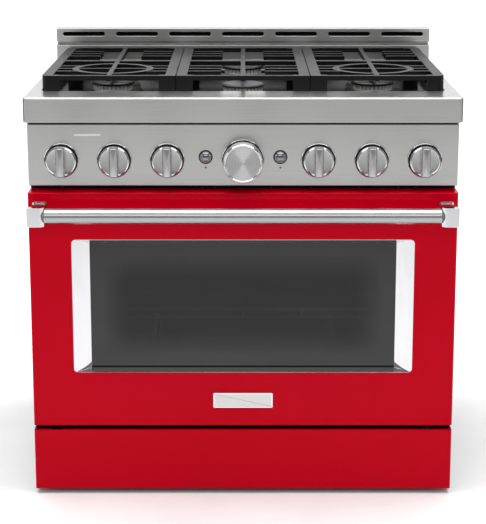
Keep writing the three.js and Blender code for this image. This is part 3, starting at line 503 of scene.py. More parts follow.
@dataclass(frozen=True)
class Enamel(Finish):
    """Vitreous enamel fired on steel: a glassy coat with a slight orange peel."""

    peel_mm: float = 5.0
    fleck: str = ""
    fleck_mm: float = 9.0

    def draw(self, tree, shader, where) -> None:
        """Draws slow colour drift, orange peel, and light flecks if it has them."""
        drift = add(
            tree, "ShaderNodeTexNoise", inputs={"Vector": where, "Scale": per(220), "Detail": 2.0}
        ).outputs["Fac"]
        self.vary_colour(tree, shader, drift, 0.93)
        peel = add(
            tree, "ShaderNodeTexNoise", inputs={"Vector": where, "Scale": per(self.peel_mm), "Detail": 1.0}
        ).outputs["Fac"]
        self.vary_roughness(tree, shader, drift, self.roughness * 0.3)
        self.raise_surface(tree, shader, peel, 0.03, 0.5)
        if self.fleck:
            cells = add(tree, "ShaderNodeTexVoronoi", inputs={"Vector": where, "Scale": per(self.fleck_mm)})
            edge = [(0.10, linear(self.fleck)), (0.17, linear(self.colour))]
            tree.links.new(ramp(tree, cells.outputs["Distance"], edge), shader.inputs["Base Color"])


@dataclass(frozen=True)
class Cast(Finish):
    """Sand-cast metal: a pitted, grainy skin."""

    grain_mm: float = 2.4
    depth_mm: float = 0.25

    def draw(self, tree, shader, where) -> None:
        """Draws the sand's grain in height, shade and gloss."""
        grain = add(
            tree,
            "ShaderNodeTexNoise",
            inputs={"Vector": where, "Scale": per(self.grain_mm), "Detail": 5.0, "Roughness": 0.6},
        ).outputs["Fac"]
        self.vary_roughness(tree, shader, grain, 0.12)
        self.vary_colour(tree, shader, grain, 0.7)
        self.raise_surface(tree, shader, grain, self.depth_mm, 0.6)


@dataclass(frozen=True)
class Galvanised(Finish):
    """Hot-dip zinc: flat crystals of spangle, each a little lighter or darker."""

    spangle_mm: float = 14.0

    def draw(self, tree, shader, where) -> None:
        """Draws the crystals as cells with their own shade and gloss."""
        cells = add(tree, "ShaderNodeTexVoronoi", inputs={"Vector": where, "Scale": per(self.spangle_mm)})
        shade = add(tree, "ShaderNodeSeparateColor", inputs={"Color": cells.outputs["Color"]}).outputs[0]
        self.vary_colour(tree, shader, shade, 0.78)
        self.vary_roughness(tree, shader, shade, 0.1)


@dataclass(frozen=True)
class Glass(Finish):
    """Float glass with a dark body tint and a black fired-on border.

    The border starts where the clear window ends; half sizes and centre are in metres.
    """

    clear: tuple = (1.0, 1.0)
    centre: tuple = (0.0, 0.0)

    def draw(self, tree, shader, where) -> None:
        """Lets light through inside the window, and closes it over the printed border."""
        place = add(tree, "ShaderNodeSeparateXYZ", inputs={"Vector": where})
        inside = []
        for axis, half, centre in zip((0, 2), self.clear, self.centre):
            off = add(
                tree, "ShaderNodeMath", {"operation": "SUBTRACT"}, {0: place.outputs[axis], 1: centre}
            )
            far = add(tree, "ShaderNodeMath", {"operation": "ABSOLUTE"}, {0: off.outputs[0]})
            soft = add(
                tree,
                "ShaderNodeMapRange",
                inputs={"Value": far.outputs[0], "From Min": half - 45 * MM, "From Max": half + 10 * MM, "To Min": 1.0, "To Max": 0.0},
            )
            inside.append(soft.outputs[0])
        window = add(tree, "ShaderNodeMath", {"operation": "MULTIPLY"}, {0: inside[0], 1: inside[1]})
        haze = add(
            tree, "ShaderNodeTexNoise", inputs={"Vector": where, "Scale": per(60), "Detail": 3.0}
        ).outputs["Fac"]
        self.vary_roughness(tree, shader, haze, self.roughness * 0.6)
        alpha = add(
            tree, "ShaderNodeMapRange", inputs={"Value": window.outputs[0], "To Min": 1.0, "To Max": 0.42}
        )
        tree.links.new(alpha.outputs[0], shader.inputs["Alpha"])


@dataclass(frozen=True)
class Braid(Finish):
    """Glass-fibre rope: a woven sleeve over a core."""

    strand_mm: float = 3.0

    def draw(self, tree, shader, where) -> None:
        """Draws crossing strands as diagonal waves."""
        wave = add(
            tree,
            "ShaderNodeTexWave",
            {"bands_direction": "DIAGONAL"},
            {"Vector": where, "Scale": per(self.strand_mm) / 20, "Distortion": 2.0},
        ).outputs["Fac"]
        self.vary_colour(tree, shader, wave, 0.55)
        self.raise_surface(tree, shader, wave, 0.4, 0.8)


KNOB_CENTRE = tuple(middle("oven_knob"))
WINDOW = box("outer_glass")
INNER = box("inner_glass")
LAP = 14 * MM
FRIT = 37 * MM

STEEL = BrushedSteel("brushed stainless steel", "#CDCDCC", 0.30, 1.0)
STEEL_UPRIGHT = BrushedSteel("brushed stainless steel bar", "#A9A9AA", 0.26, 1.0)
CHROME = Polished("polished chromium plate", "#DEDEE0", 0.07, 1.0)
KNOB_STEEL = BrushedSteel(
    "satin nickel plate", "#BEBEBE", 0.24, 1.0, scratch_mm=0.9, scratch_length_mm=30, grain=Axis.UP
)
SPUN = SpunSteel("spun stainless steel", "#D0D0D0", 0.46, 1.0, centre=KNOB_CENTRE)
SMOKED = Polished("smoked chromium plate", "#8A8B8D", 0.10, 1.0)
RED = Enamel("red vitreous enamel", "#BC001A", 0.07, specular=0.05)
SIDE = Enamel("charcoal vitreous enamel", "#2B2C30", 0.32, peel_mm=3.0)
OVEN = Enamel("blue-black oven enamel", "#1B1D26", 0.22, fleck="#8E93A3")
BASIN_BLACK = Enamel("black porcelain enamel", "#040405", 0.10, specular=0.04)
IRON = Cast("matt black enamelled cast iron", "#050505", 0.36, specular=0.26)
CAP_IRON = Cast("black enamelled cap", "#0C0C0D", 0.30, depth_mm=0.12)
CAP_GREY = Cast("grey enamelled cap", "#4A4A4C", 0.38, depth_mm=0.12)
ALUMINIUM = Cast("cast aluminium", "#F4F4F2", 0.42, 0.25, grain_mm=1.5, depth_mm=0.12)
BRASS = Polished("turned brass", "#B9924A", 0.28, 1.0)
ZINC = Galvanised("galvanised steel", "#A2A5A8", 0.46, 1.0)
TINTED = Glass(
    "tinted float glass", "#08090A", 0.03, specular=0.6,
    clear=((WINDOW[1].x - WINDOW[0].x) / 2 - LAP - FRIT, (WINDOW[1].z - WINDOW[0].z) / 2 - LAP - FRIT),
    centre=(0.0, (WINDOW[0].z + WINDOW[1].z) / 2),
)
CLEAR = Glass(
    "clear float glass", "#0C0F10", 0.02,
    clear=((INNER[1].x - INNER[0].x) / 2, (INNER[1].z - INNER[0].z) / 2),
    centre=(0.0, (INNER[0].z + INNER[1].z) / 2),
)
ROPE = Braid("glass-fibre rope", "#7F7B72", 0.8)
# Black rubber on the button collars and the black pilot dots, and also the black of the painted shade behind the
# knobs, inside the backguard and under the deck's front edge.
BLACK_RUBBER_AND_PAINTED_SHADE = Cast("black rubber and painted shade", "#101011", 0.6, grain_mm=1.2, depth_mm=0.05)
CERAMIC = Enamel("glazed alumina", "#E4E0D6", 0.25, peel_mm=1.5)
PRINT = Enamel("white panel print", "#F1F1F1", 0.4, peel_mm=1.5)


def dress(piece: Piece, finish: Finish, body: str | Body = Body.RANGE, replaces: tuple = ()) -> Piece:
    """Finishes a new piece and hangs it on the frame.

    Args:
        piece: The modelled piece.
        finish: Its material.
        body: The body it moves with.
        replaces: The CAD nodes that it stands for.

    Returns:
        The piece.
    """
    if not piece.data.materials:
        piece.data.materials.append(finish.made())
    else:
        piece.data.materials[0] = finish.made()
    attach(piece, body.value if isinstance(body, Body) else body)
    if replaces:
        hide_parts(*replaces)
    LOG.info("%s: %d faces", piece.name, len(piece.data.polygons))
    return piece


def redress(node: str, finish: Finish) -> None:
    """Gives a CAD node that stays its finish."""
    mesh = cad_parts[node].data
    mesh.materials.clear()
    mesh.materials.append(finish.made())


# ---------------------------------------------------------------- body


@dataclass
class Cabinet:
    """The side, rear and kick panels, the base pan and the feet."""

    recess: float = 0.9 * MM
    margin: float = 45 * MM
    foot_pad: float = 20
    foot_stem: float = 7
    nut: float = 12

    def build(self) -> None:
        """Builds every piece of the cabinet."""
        for side, name in ((-1, "left"), (1, "right")):
            self.side_panel(side, f"side_panel_{name}")
        self.kick_panel()
        self.rear_details()
        self.feet()
        for node in ("base_pan", "rear_panel"):
            redress(node, ZINC)

    def side_panel(self, side: int, node: str) -> None:
        """A side sheet with a toe, a folded back edge and a pressed-in field."""
        low, high = box(node)
        kick = box("kick_panel")
        oven_face = box("oven_liner")[0].y
        outer = high.x if side > 0 else low.x
        inner = outer - side * SHEET
        xs = sorted((inner, outer))
        panel = block(f"{node}_sheet", (xs[0], oven_face, low.z), (xs[1], high.y, high.z))
        toe = block("toe", (xs[0], low.y, low.z), (xs[1], oven_face + MM, kick[1].z))
        shape(panel, toe, Joining.FUSE)
        fold_x = sorted((outer, outer - side * (high.x - low.x)))
        fold = block("fold", (fold_x[0], high.y - SHEET, 0.08), (fold_x[1], high.y, high.z))
        shape(panel, fold, Joining.FUSE)
        field_x = sorted((outer - side * self.recess, outer + side * 5 * MM))
        field_low = (field_x[0], oven_face + self.margin, low.z + 2 * self.margin)
        field = block("field", field_low, (field_x[1], high.y - self.margin, high.z - self.margin))
        round_edges(field, along(Axis.ACROSS), 18 * MM)
        shape(panel, field)
        soften(panel, 0.6 * MM, 3)
        dress(panel, SIDE, replaces=(node,))

    def kick_panel(self) -> None:
        """A red pan with rounded front edges, open at the back."""
        low, high = box("kick_panel")
        panel = block("kick_panel_skin", low, high)
        round_edges(panel, lambda at, run: at.y < low.y + TINY, 2.5 * MM, 4)
        hollow_low = (low.x + SHEET, low.y + SHEET, low.z + SHEET)
        shape(panel, block("hollow", hollow_low, (high.x - SHEET, high.y + MM, high.z - SHEET)))
        for side in (-1, 1):
            hinge = box("door_hinge_left" if side < 0 else "door_hinge_right")
            notch_low = (hinge[0].x, low.y + SHEET, hinge[0].z + 8 * MM)
            shape(panel, block("notch", notch_low, (hinge[1].x, high.y + MM, high.z + MM)))
        soften(panel, 0.5 * MM, 2)
        dress(panel, RED, replaces=("kick_panel",))

    def rear_details(self) -> None:
        """Pan-head screws round the rear panel."""
        low, high = box("rear_panel")
        screw = self.screw(Vector((low.x + 12 * MM, high.y, 0.1)))
        screws = [screw]
        for row in range(5):
            z = 0.1 + row * 0.165
            for side in (-1, 1):
                if row or side > 0:
                    offset = ((0 if side < 0 else 2 * (high.x - 12 * MM)), 0, z - 0.1)
                    screws.append(copy_to(screw, "screw", offset))
        dress(gather(screws, "rear_screws"), CHROME)

    def screw(self, at: Vector) -> Piece:
        """A sunk screw head, flush with the plate's back face."""
        head = turned("screw", [(0, 1.6), (4.2, 1.6), (4.2, 0.9), (3.4, 0.1), (0, 0.0)], at, Axis.FORWARD, 20)
        return smooth(head, 40)

    def feet(self) -> None:
        """Threaded levelling feet with a pad and a hexagon nut under the pan."""
        base = box("base_pan")[1].z
        for place in ("front_left", "front_right", "rear_left", "rear_right"):
            node = f"foot_{place}"
            low, high = box(node)
            centre = ((low.x + high.x) / 2, (low.y + high.y) / 2, 0.0)
            pad, stem = self.foot_pad, self.foot_stem
            outline = [(0, 0), (pad - 1.5, 0), (pad, 1.5), (pad, 6), (pad - 3, 8), (stem + 1, 9)]
            turns = 11
            for turn in range(turns):
                z = 10 + turn * 2.4
                outline += [(stem, z), (stem - 0.8, z + 1.2)]
            outline += [(stem, high.z / MM - 1), (0, high.z / MM)]
            foot = turned(node + "_leveller", outline, centre, steps=36)
            nut = rod("nut", self.nut * MM, (centre[0], centre[1], 0.037), (centre[0], centre[1], 0.0457), 6)
            soften(nut, 0.6 * MM)
            leveller = smooth(gather([foot, nut], node + "_leveller"), 40)
            dress(leveller, ZINC, replaces=(node,))
        LOG.info("feet stand under a pan at %.3f m", base)


# ---------------------------------------------------------------- oven


@dataclass
class Oven:
    """The cavity's racks, burners, fan and rope seal."""

    rod_radius: float = 4 * MM
    wire_radius: float = 2.5 * MM
    wires: int = 23
    seal_radius: float = 2.8 * MM

    def build(self) -> None:
        """Builds the oven's pieces."""
        for node in ("oven_liner", "broil_burner"):
            redress(node, OVEN if node == "oven_liner" else ZINC)
        self.rack("rack_lower")
        self.rack("rack_upper")
        self.bake_burner()
        self.fan_cover()
        redress("convection_fan", ALUMINIUM)
        self.seal()

    def rack(self, node: str) -> None:
        """A chromed wire rack with a rim, cross wires and a lip at the front."""
        low, high = box(node)
        r, w = self.rod_radius, self.wire_radius
        z = high.z - r
        lip = low.z + w
        bars = [
            rod("rim", r, (low.x, low.y + r, z), (high.x, low.y + r, z), 16),
            rod("rim", r, (low.x, high.y - r, z), (high.x, high.y - r, z), 16),
            rod("rim", r, (low.x + r, low.y, z), (low.x + r, high.y, z), 16),
            rod("rim", r, (high.x - r, low.y, z), (high.x - r, high.y, z), 16),
            rod("lip", w, (low.x + 20 * MM, low.y + r, lip), (high.x - 20 * MM, low.y + r, lip), 12),
        ]
        pitch = (high.x - low.x) / (self.wires + 1)
        top = high.z - w
        wire = rod("wire", w, (low.x + pitch, low.y + MM, top), (low.x + pitch, high.y - MM, top), 12)
        drop = rod("drop", w, (low.x + pitch, low.y + r, lip), (low.x + pitch, low.y + r, z), 12)
        bars += [copy_to(wire, "wire", (pitch * step, 0, 0)) for step in range(1, self.wires)]
        bars += [copy_to(drop, "drop", (pitch * step, 0, 0)) for step in range(3, self.wires - 1, 4)]
        rack = smooth(gather([wire, drop, *bars], node + "_wires"), 40)
        dress(rack, CHROME, node, (node,))

    def bake_burner(self) -> None:
        """A bent tube."""
        low, high = box("bake_burner")
        radius = (high.z - low.z) / 2
        z = (low.z + high.z) / 2
        corner = 30 * MM
        x = high.x - radius
        span = high.y - low.y - radius
        tube = plate("bake_burner_tube", (0, high.y - span / 2, z), (2 * x, span))
        with editing(tube, "VERT"):
            mesh = bmesh.from_edit_mesh(tube.data)
            for vertex in mesh.verts:
                vertex.select_set(vertex.co.y < low.y + 2 * radius)
            mesh.select_flush_mode()
            bmesh.update_edit_mesh(tube.data)
            bpy.ops.mesh.bevel(offset=corner, segments=8, affect="VERTICES")
            bpy.ops.mesh.select_all(action="SELECT")
            bpy.ops.mesh.delete(type="ONLY_FACE")
        with editing(tube, "EDGE"):
            pick_edges(tube, lambda at, run: at.y > high.y - TINY)
            bpy.ops.mesh.delete(type="EDGE")
        self.thicken(tube, radius)
        dress(tube, ZINC, replaces=("bake_burner",))

    def thicken(self, path: Piece, radius: float) -> None:
        """Turns a mesh line into a closed round tube."""
        activate(path)
        bpy.ops.object.convert(target="CURVE")
        path.data.bevel_depth = radius
        path.data.bevel_resolution = 5
        path.data.use_fill_caps = True
        bpy.ops.object.convert(target="MESH")
        with editing(path):
            bpy.ops.mesh.select_all(action="SELECT")
            bpy.ops.mesh.normals_make_consistent(inside=False)
        smooth(path, 40)

    def fan_cover(self) -> None:
        """A pressed round cover with radial slots."""
        low, high = box("fan_cover")
        centre = ((low.x + high.x) / 2, high.y, (low.z + high.z) / 2)
        r = (high.x - low.x) / 2 / MM
        d = (high.y - low.y) / MM
        t = SHEET / MM
        outline = [(0, d - t), (r - 18, d - t), (r - 14, d - t - 1), (r - t, 0), (r, 0), (r - 11, d - 2), (r - 15, d), (0, d)]
        cover = turned("fan_cover_pressing", outline, centre, Axis.FORWARD, 72)
        slot = block("slot", (-4 * MM, low.y - MM, centre[2] + 36 * MM), (4 * MM, low.y + 4 * MM, centre[2] + 98 * MM))
        round_edges(slot, along(Axis.FORWARD), 3.6 * MM, 4)
        slots = [slot]
        count = 10
        for step in range(1, count):
            turn = copy_to(slot, "slot", (0, 0, 0))
            with editing(turn, "VERT"):
                bpy.ops.mesh.select_all(action="SELECT")
                bpy.ops.transform.rotate(
                    value=math.tau * step / count, orient_axis="Y", center_override=centre
                )
            slots.append(turn)
        shape(cover, gather(slots, "slots"))
        dress(smooth(cover, 35), OVEN, replaces=("fan_cover",))

    def seal(self) -> None:
        """A glass-fibre rope round the oven's mouth, in the gap behind the door."""
        face = box("oven_liner")[0].y
        clear = 16 * MM
        panel = box("door_inner_panel")
        cavity_x = 0.385
        low_z, high_z = 0.215 - clear, 0.615 + clear
        centre = (0, (face + panel[1].y) / 2, (low_z + high_z) / 2)
        rope = plate("oven_seal", centre, (2 * (cavity_x + clear), high_z - low_z), upright=True)
        with editing(rope, "VERT"):
            bpy.ops.mesh.select_all(action="SELECT")
            bpy.ops.mesh.bevel(offset=25 * MM, segments=8, affect="VERTICES")
            bpy.ops.mesh.select_all(action="SELECT")
            bpy.ops.mesh.delete(type="ONLY_FACE")
        self.thicken(rope, self.seal_radius)
        dress(rope, ROPE)


# ---------------------------------------------------------------- cooktop


@dataclass
class Cooktop:
    """The deck with its basin, and the backguard behind it."""

    corner: float = 9 * MM
    fascia_round: float = 4 * MM
    basin_x: float = 429.5 * MM
    basin_front: float = 101 * MM
    basin_rear: float = 9 * MM
    basin_depth: float = 28 * MM
    basin_corner: float = 14 * MM
    basin_fillet: float = 7 * MM
    throat: float = 25 * MM
    band: float = 31 * MM
    groove: float = 9 * MM
    groove_depth: float = 18 * MM
    vents: int = 7
    vent_size: tuple = (102 * MM, 10.2 * MM)
    vent_pitch: float = 129.6 * MM
    vent_drop: float = 13 * MM

    def build(self) -> None:
        """Builds the deck and the backguard."""
        self.deck()
        self.backguard()

    def deck(self) -> None:
        """A folded steel deck with a deep black-enamelled basin."""
        low, high = box("cooktop")
        deck = block("cooktop_deck", low, high)
        round_edges(deck, lambda at, run: abs(run.z) > 0.9 and at.y < 0, self.corner, 8)
        round_edges(
            deck, lambda at, run: abs(run.z) < 0.1 and at.z > high.z - TINY and at.y < high.y - TINY, self.fascia_round, 5
        )
        under_high = (high.x - SHEET, high.y - SHEET, high.z - SHEET - self.fascia_round / 2)
        shape(deck, block("under", (low.x + SHEET, low.y + SHEET, low.z - MM), under_high))
        floor = high.z - self.basin_depth
        y0, y1 = low.y + self.basin_front, high.y - self.basin_rear
        x = self.basin_x
        wall = block("wall", (-x - SHEET, y0 - SHEET, floor - SHEET), (x + SHEET, y1 + SHEET, high.z - MM))
        round_edges(wall, along(Axis.UP), self.basin_corner + SHEET)
        shape(deck, wall, Joining.FUSE)
        pocket = block("pocket", (-x, y0, floor), (x, y1, high.z + 5 * MM))
        round_edges(pocket, along(Axis.UP), self.basin_corner)
        round_edges(pocket, lambda at, run: at.z < floor + TINY and abs(run.z) < 0.1, self.basin_fillet, 4)
        shape(deck, pocket)
        for head in [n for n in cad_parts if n.startswith("burner_head")]:
            at = middle(head)
            shape(deck, rod("throat", self.throat, (at.x, at.y, floor - 5 * MM), (at.x, at.y, floor + MM)))
        soften(deck, 1.0 * MM, 3, 50)
        dress(deck, STEEL, replaces=("cooktop",))
        reach = floor + self.basin_fillet * 0.8

        def in_basin(at: Vector, normal: Vector) -> bool:
            inside = abs(at.x) < x + TINY and y0 - TINY < at.y < y1 + TINY
            return inside and floor - TINY < at.z < reach and normal.z > 0.3

        paint_faces(deck, BASIN_BLACK.made(), in_basin)

    def backguard(self) -> None:
        """A folded guard: slotted band, groove under it and a plain lower face."""
        low, high = box("backguard")
        guard = block("backguard_sheet", low, high)
        band_z = high.z - self.band
        groove_z = band_z - self.groove
        wide = (low.x - MM, high.x + MM)
        shape(guard, block("groove", (wide[0], low.y - MM, groove_z), (wide[1], low.y + self.groove_depth, band_z)))
        x = (low.x + SHEET, high.x - SHEET)
        front, back = low.y + SHEET, high.y - SHEET
        behind = low.y + self.groove_depth + SHEET
        shape(guard, block("hollow", (x[0], front, band_z + SHEET), (x[1], back, high.z - SHEET)))
        shape(guard, block("hollow", (x[0], behind, low.z - MM), (x[1], back, band_z + 2 * SHEET)))
        shape(guard, block("hollow", (x[0], front, low.z - MM), (x[1], behind + MM, groove_z - SHEET)))
        w, h = self.vent_size
        z = high.z - self.vent_drop
        start = -self.vent_pitch * (self.vents - 1) / 2
        vent = block("vent", (start - w / 2, low.y - MM, z - h / 2), (start + w / 2, front + MM, z + h / 2))
        round_edges(vent, along(Axis.FORWARD), h / 2 - TINY, 8)
        vents = [vent] + [copy_to(vent, "vent", (self.vent_pitch * step, 0, 0)) for step in range(1, self.vents)]
        shape(guard, gather(vents, "vents"))
        soften(guard, 0.8 * MM, 3)
        dress(guard, STEEL, replaces=("backguard",))

        # Painted shade: the faces inside the hollow guard are painted black, so the vents and the open bottom look
        # dark.
        def inside(at: Vector, normal: Vector) -> bool:
            deep = low.x + TINY < at.x < high.x - TINY and low.z < at.z < high.z - TINY
            return deep and front - TINY < at.y < high.y - TINY and not groove_z < at.z < band_z

        paint_faces(guard, BLACK_RUBBER_AND_PAINTED_SHADE.made(), inside)


@dataclass
class Burners:
    """Six sealed burners: cast crown, enamelled cap and spark electrode."""

    crown: float = 43
    cap_height: float = 8
    ports: int = 30
    port_width: float = 2.6 * MM

    def build(self) -> None:
        """Builds each burner at its own height."""
        for name in [n.removeprefix("burner_head_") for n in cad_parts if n.startswith("burner_head")]:
            self.head(name)
            self.cap(name)
            self.igniter(name)

    def head(self, name: str) -> None:
        """A crown with a ring of narrow gas ports under its rim."""
        node = f"burner_head_{name}"
        low, high = box(node)
        centre = (middle(node).x, middle(node).y, low.z)
        foot = (box("burner_head_" + name)[1].z - low.z) / MM
        r = self.crown
        floor = 30.0
        outline = [
            (0, 0), (24, 0), (24, floor), (r - 1, floor), (r, floor + 1.5), (r - 1, floor + 4),
            (r - 4, floor + 5), (r - 4, foot - 15), (r - 1, foot - 12), (r, foot - 11), (r, foot - 1), (r - 1, foot), (0, foot),
        ]
        head = turned(node + "_crown", outline, centre, steps=60)
        slot = block(
            "port", (-self.port_width / 2, centre[1] + 0.030, high.z - 9 * MM),
            (self.port_width / 2, centre[1] + 0.05, high.z + MM),
        )
        slots = []
        for step in range(self.ports):
            turn = copy_to(slot, "port", (0, 0, 0))
            with editing(turn, "VERT"):
                bpy.ops.mesh.select_all(action="SELECT")
                bpy.ops.transform.translate(value=(centre[0], 0, 0))
                bpy.ops.transform.rotate(
                    value=math.tau * step / self.ports, orient_axis="Z", center_override=(centre[0], centre[1], high.z)
                )
            slots.append(turn)
        bpy.data.objects.remove(slot)
        shape(head, gather(slots, "ports"))
        dress(smooth(head, 35), ALUMINIUM, replaces=(node,))

    def cap(self, name: str) -> None:
        """A domed cap with a rolled edge."""
        node = f"burner_cap_{name}"
        low, high = box(node)
        r = (high.x - low.x) / 2 / MM
        h = (high.z - low.z) / MM
        seat_at = h - self.cap_height
        outline = [
            (0, 0), (17, 0), (17, seat_at), (r - 2, seat_at), (r - 0.4, seat_at + 1), (r, seat_at + 2.5),
            (r - 0.4, seat_at + 4.4), (r - 2, h - 2.2), (r - 5, h - 1.3), (r - 12, h - 0.7), (r * 0.5, h - 0.25), (0, h),
        ]
        cap = turned(node + "_dome", outline, (middle(node).x, middle(node).y, low.z))
        finish = CAP_GREY if name == "centre_front" else CAP_IRON
        dress(smooth(cap, 50), finish, node, (node,))

    def igniter(self, name: str) -> None:
        """A white ceramic spark electrode that stands beside the crown."""
        low, high = box(f"burner_head_{name}")
        centre = middle(f"burner_head_{name}")
        floor = low.z + 30 * MM
        at = (centre.x + 0.0335, centre.y + 0.0335, floor)
        rise = (high.z - floor) / MM - 2
        post = turned(
            "post", [(0, 0), (3.6, 0), (3.6, rise * 0.6), (2.6, rise * 0.7), (2.6, rise - 2.5), (0, rise - 2.5)], at, steps=24
        )
        tip = turned("tip", [(0, rise - 3), (1.1, rise - 3), (1.1, rise - 0.5), (0, rise)], at, steps=12)
        tip.data.materials.append(CERAMIC.made())
        paint_faces(tip, CHROME.made(), lambda at, normal: True)
        post.data.materials.append(CERAMIC.made())
        electrode = smooth(gather([post, tip], f"igniter_{name}"), 40)
        dress(electrode, CERAMIC)


@dataclass
class Grates:
    """Three cast grates that lie side by side over the basin."""

    rail: float = 22 * MM
    rail_height: float = 10 * MM
    bar: float = 10 * MM
    bar_height: float = 12 * MM
    leg: tuple = (35 * MM, 18 * MM)
    finger_pitch: float = 45 * MM
    finger_tip: float = 48 * MM
    ring_radius: float = 89
    ring_width: float = 14
    corner: float = 14 * MM

    def build(self) -> None:
        """Builds the three grates."""
        for column in ("left", "centre", "right"):
            self.grate(column)

    def fingers(self, centre: Vector, half: float, top: float, ringed: bool) -> list:
        """The bars that point at one burner, and its ring if it has one."""
        bars = []
        for step in (-1, 0, 1):
            y = centre.y + step * self.finger_pitch
            edge = math.sqrt(((self.ring_radius - self.ring_width / 2) * MM) ** 2 - (step * self.finger_pitch) ** 2)
            tip = edge if ringed else self.finger_tip
            if ringed and step == 0:
                tip = 0
            for side in (-1, 1):
                xs = sorted((centre.x + side * tip, centre.x + side * (half - MM)))
                low = (xs[0], y - self.bar / 2, top - self.bar_height)
                bars.append(block("finger", low, (xs[1], y + self.bar / 2, top)))
        if ringed:
            r, w, h = self.ring_radius, self.ring_width, self.bar_height / MM
            outline = [(r - w, -h), (r, -h), (r, 0), (r - w, 0), (r - w, -h)]
            bars.append(turned("ring", outline, (centre.x, centre.y, top), steps=56))
        return bars

    def grate(self, column: str) -> None:
        """One grate, fused from its rails, bars, legs, fingers and ring, with its edges eased."""
        node = f"grate_{column}"
        low, high = box(node)
        top = high.z
        mid_x, mid_y = (low.x + high.x) / 2, (low.y + high.y) / 2
        half = (high.x - low.x) / 2
        rail_z = top - self.rail_height
        bars = []
        for side in (-1, 1):
            xs = sorted((mid_x + side * half, mid_x + side * (half - self.rail)))
            bars.append(block("rail", (xs[0], low.y, rail_z), (xs[1], high.y, top)))
            legs = sorted((mid_x + side * half, mid_x + side * (half - self.leg[0])))
            for y in (low.y, high.y - self.leg[1]):
                leg = block("leg", (legs[0], y, low.z), (legs[1], y + self.leg[1], top))
                bars.append(leg)
        ends = self.bar + 2 * MM
        bars += [
            block("end", (low.x, low.y, rail_z), (high.x, low.y + ends, top)),
            block("end", (low.x, high.y - ends, rail_z), (high.x, high.y, top)),
            block("middle", (low.x, mid_y - self.bar, rail_z), (high.x, mid_y + self.bar, top)),
            block("spine", (mid_x - self.bar / 2, low.y, top - self.bar_height), (mid_x + self.bar / 2, high.y, top)),
        ]
        for row in ("front", "rear"):
            ringed = row == "front" and column != "centre"
            bars += self.fingers(middle(f"burner_head_{column}_{row}"), half, top, ringed)
        grate = bars.pop(0)
        grate.name = grate.data.name = node + "_casting"
        for bar in bars:
            shape(grate, bar, Joining.FUSE)
        if column != "centre":
            outline = block("outline", (low.x, low.y, low.z - MM), (high.x, high.y, top + MM))
            outer = -1 if column == "left" else 1
            round_edges(outline, lambda at, run: abs(run.z) > 0.9 and (at.x - mid_x) * outer > 0, self.corner)
            shape(grate, outline, Joining.KEEP_COMMON)
        soften(grate, 1.6 * MM, 3, 50)
        dress(grate, IRON, node, (node,))


# ---------------------------------------------------------------- controls


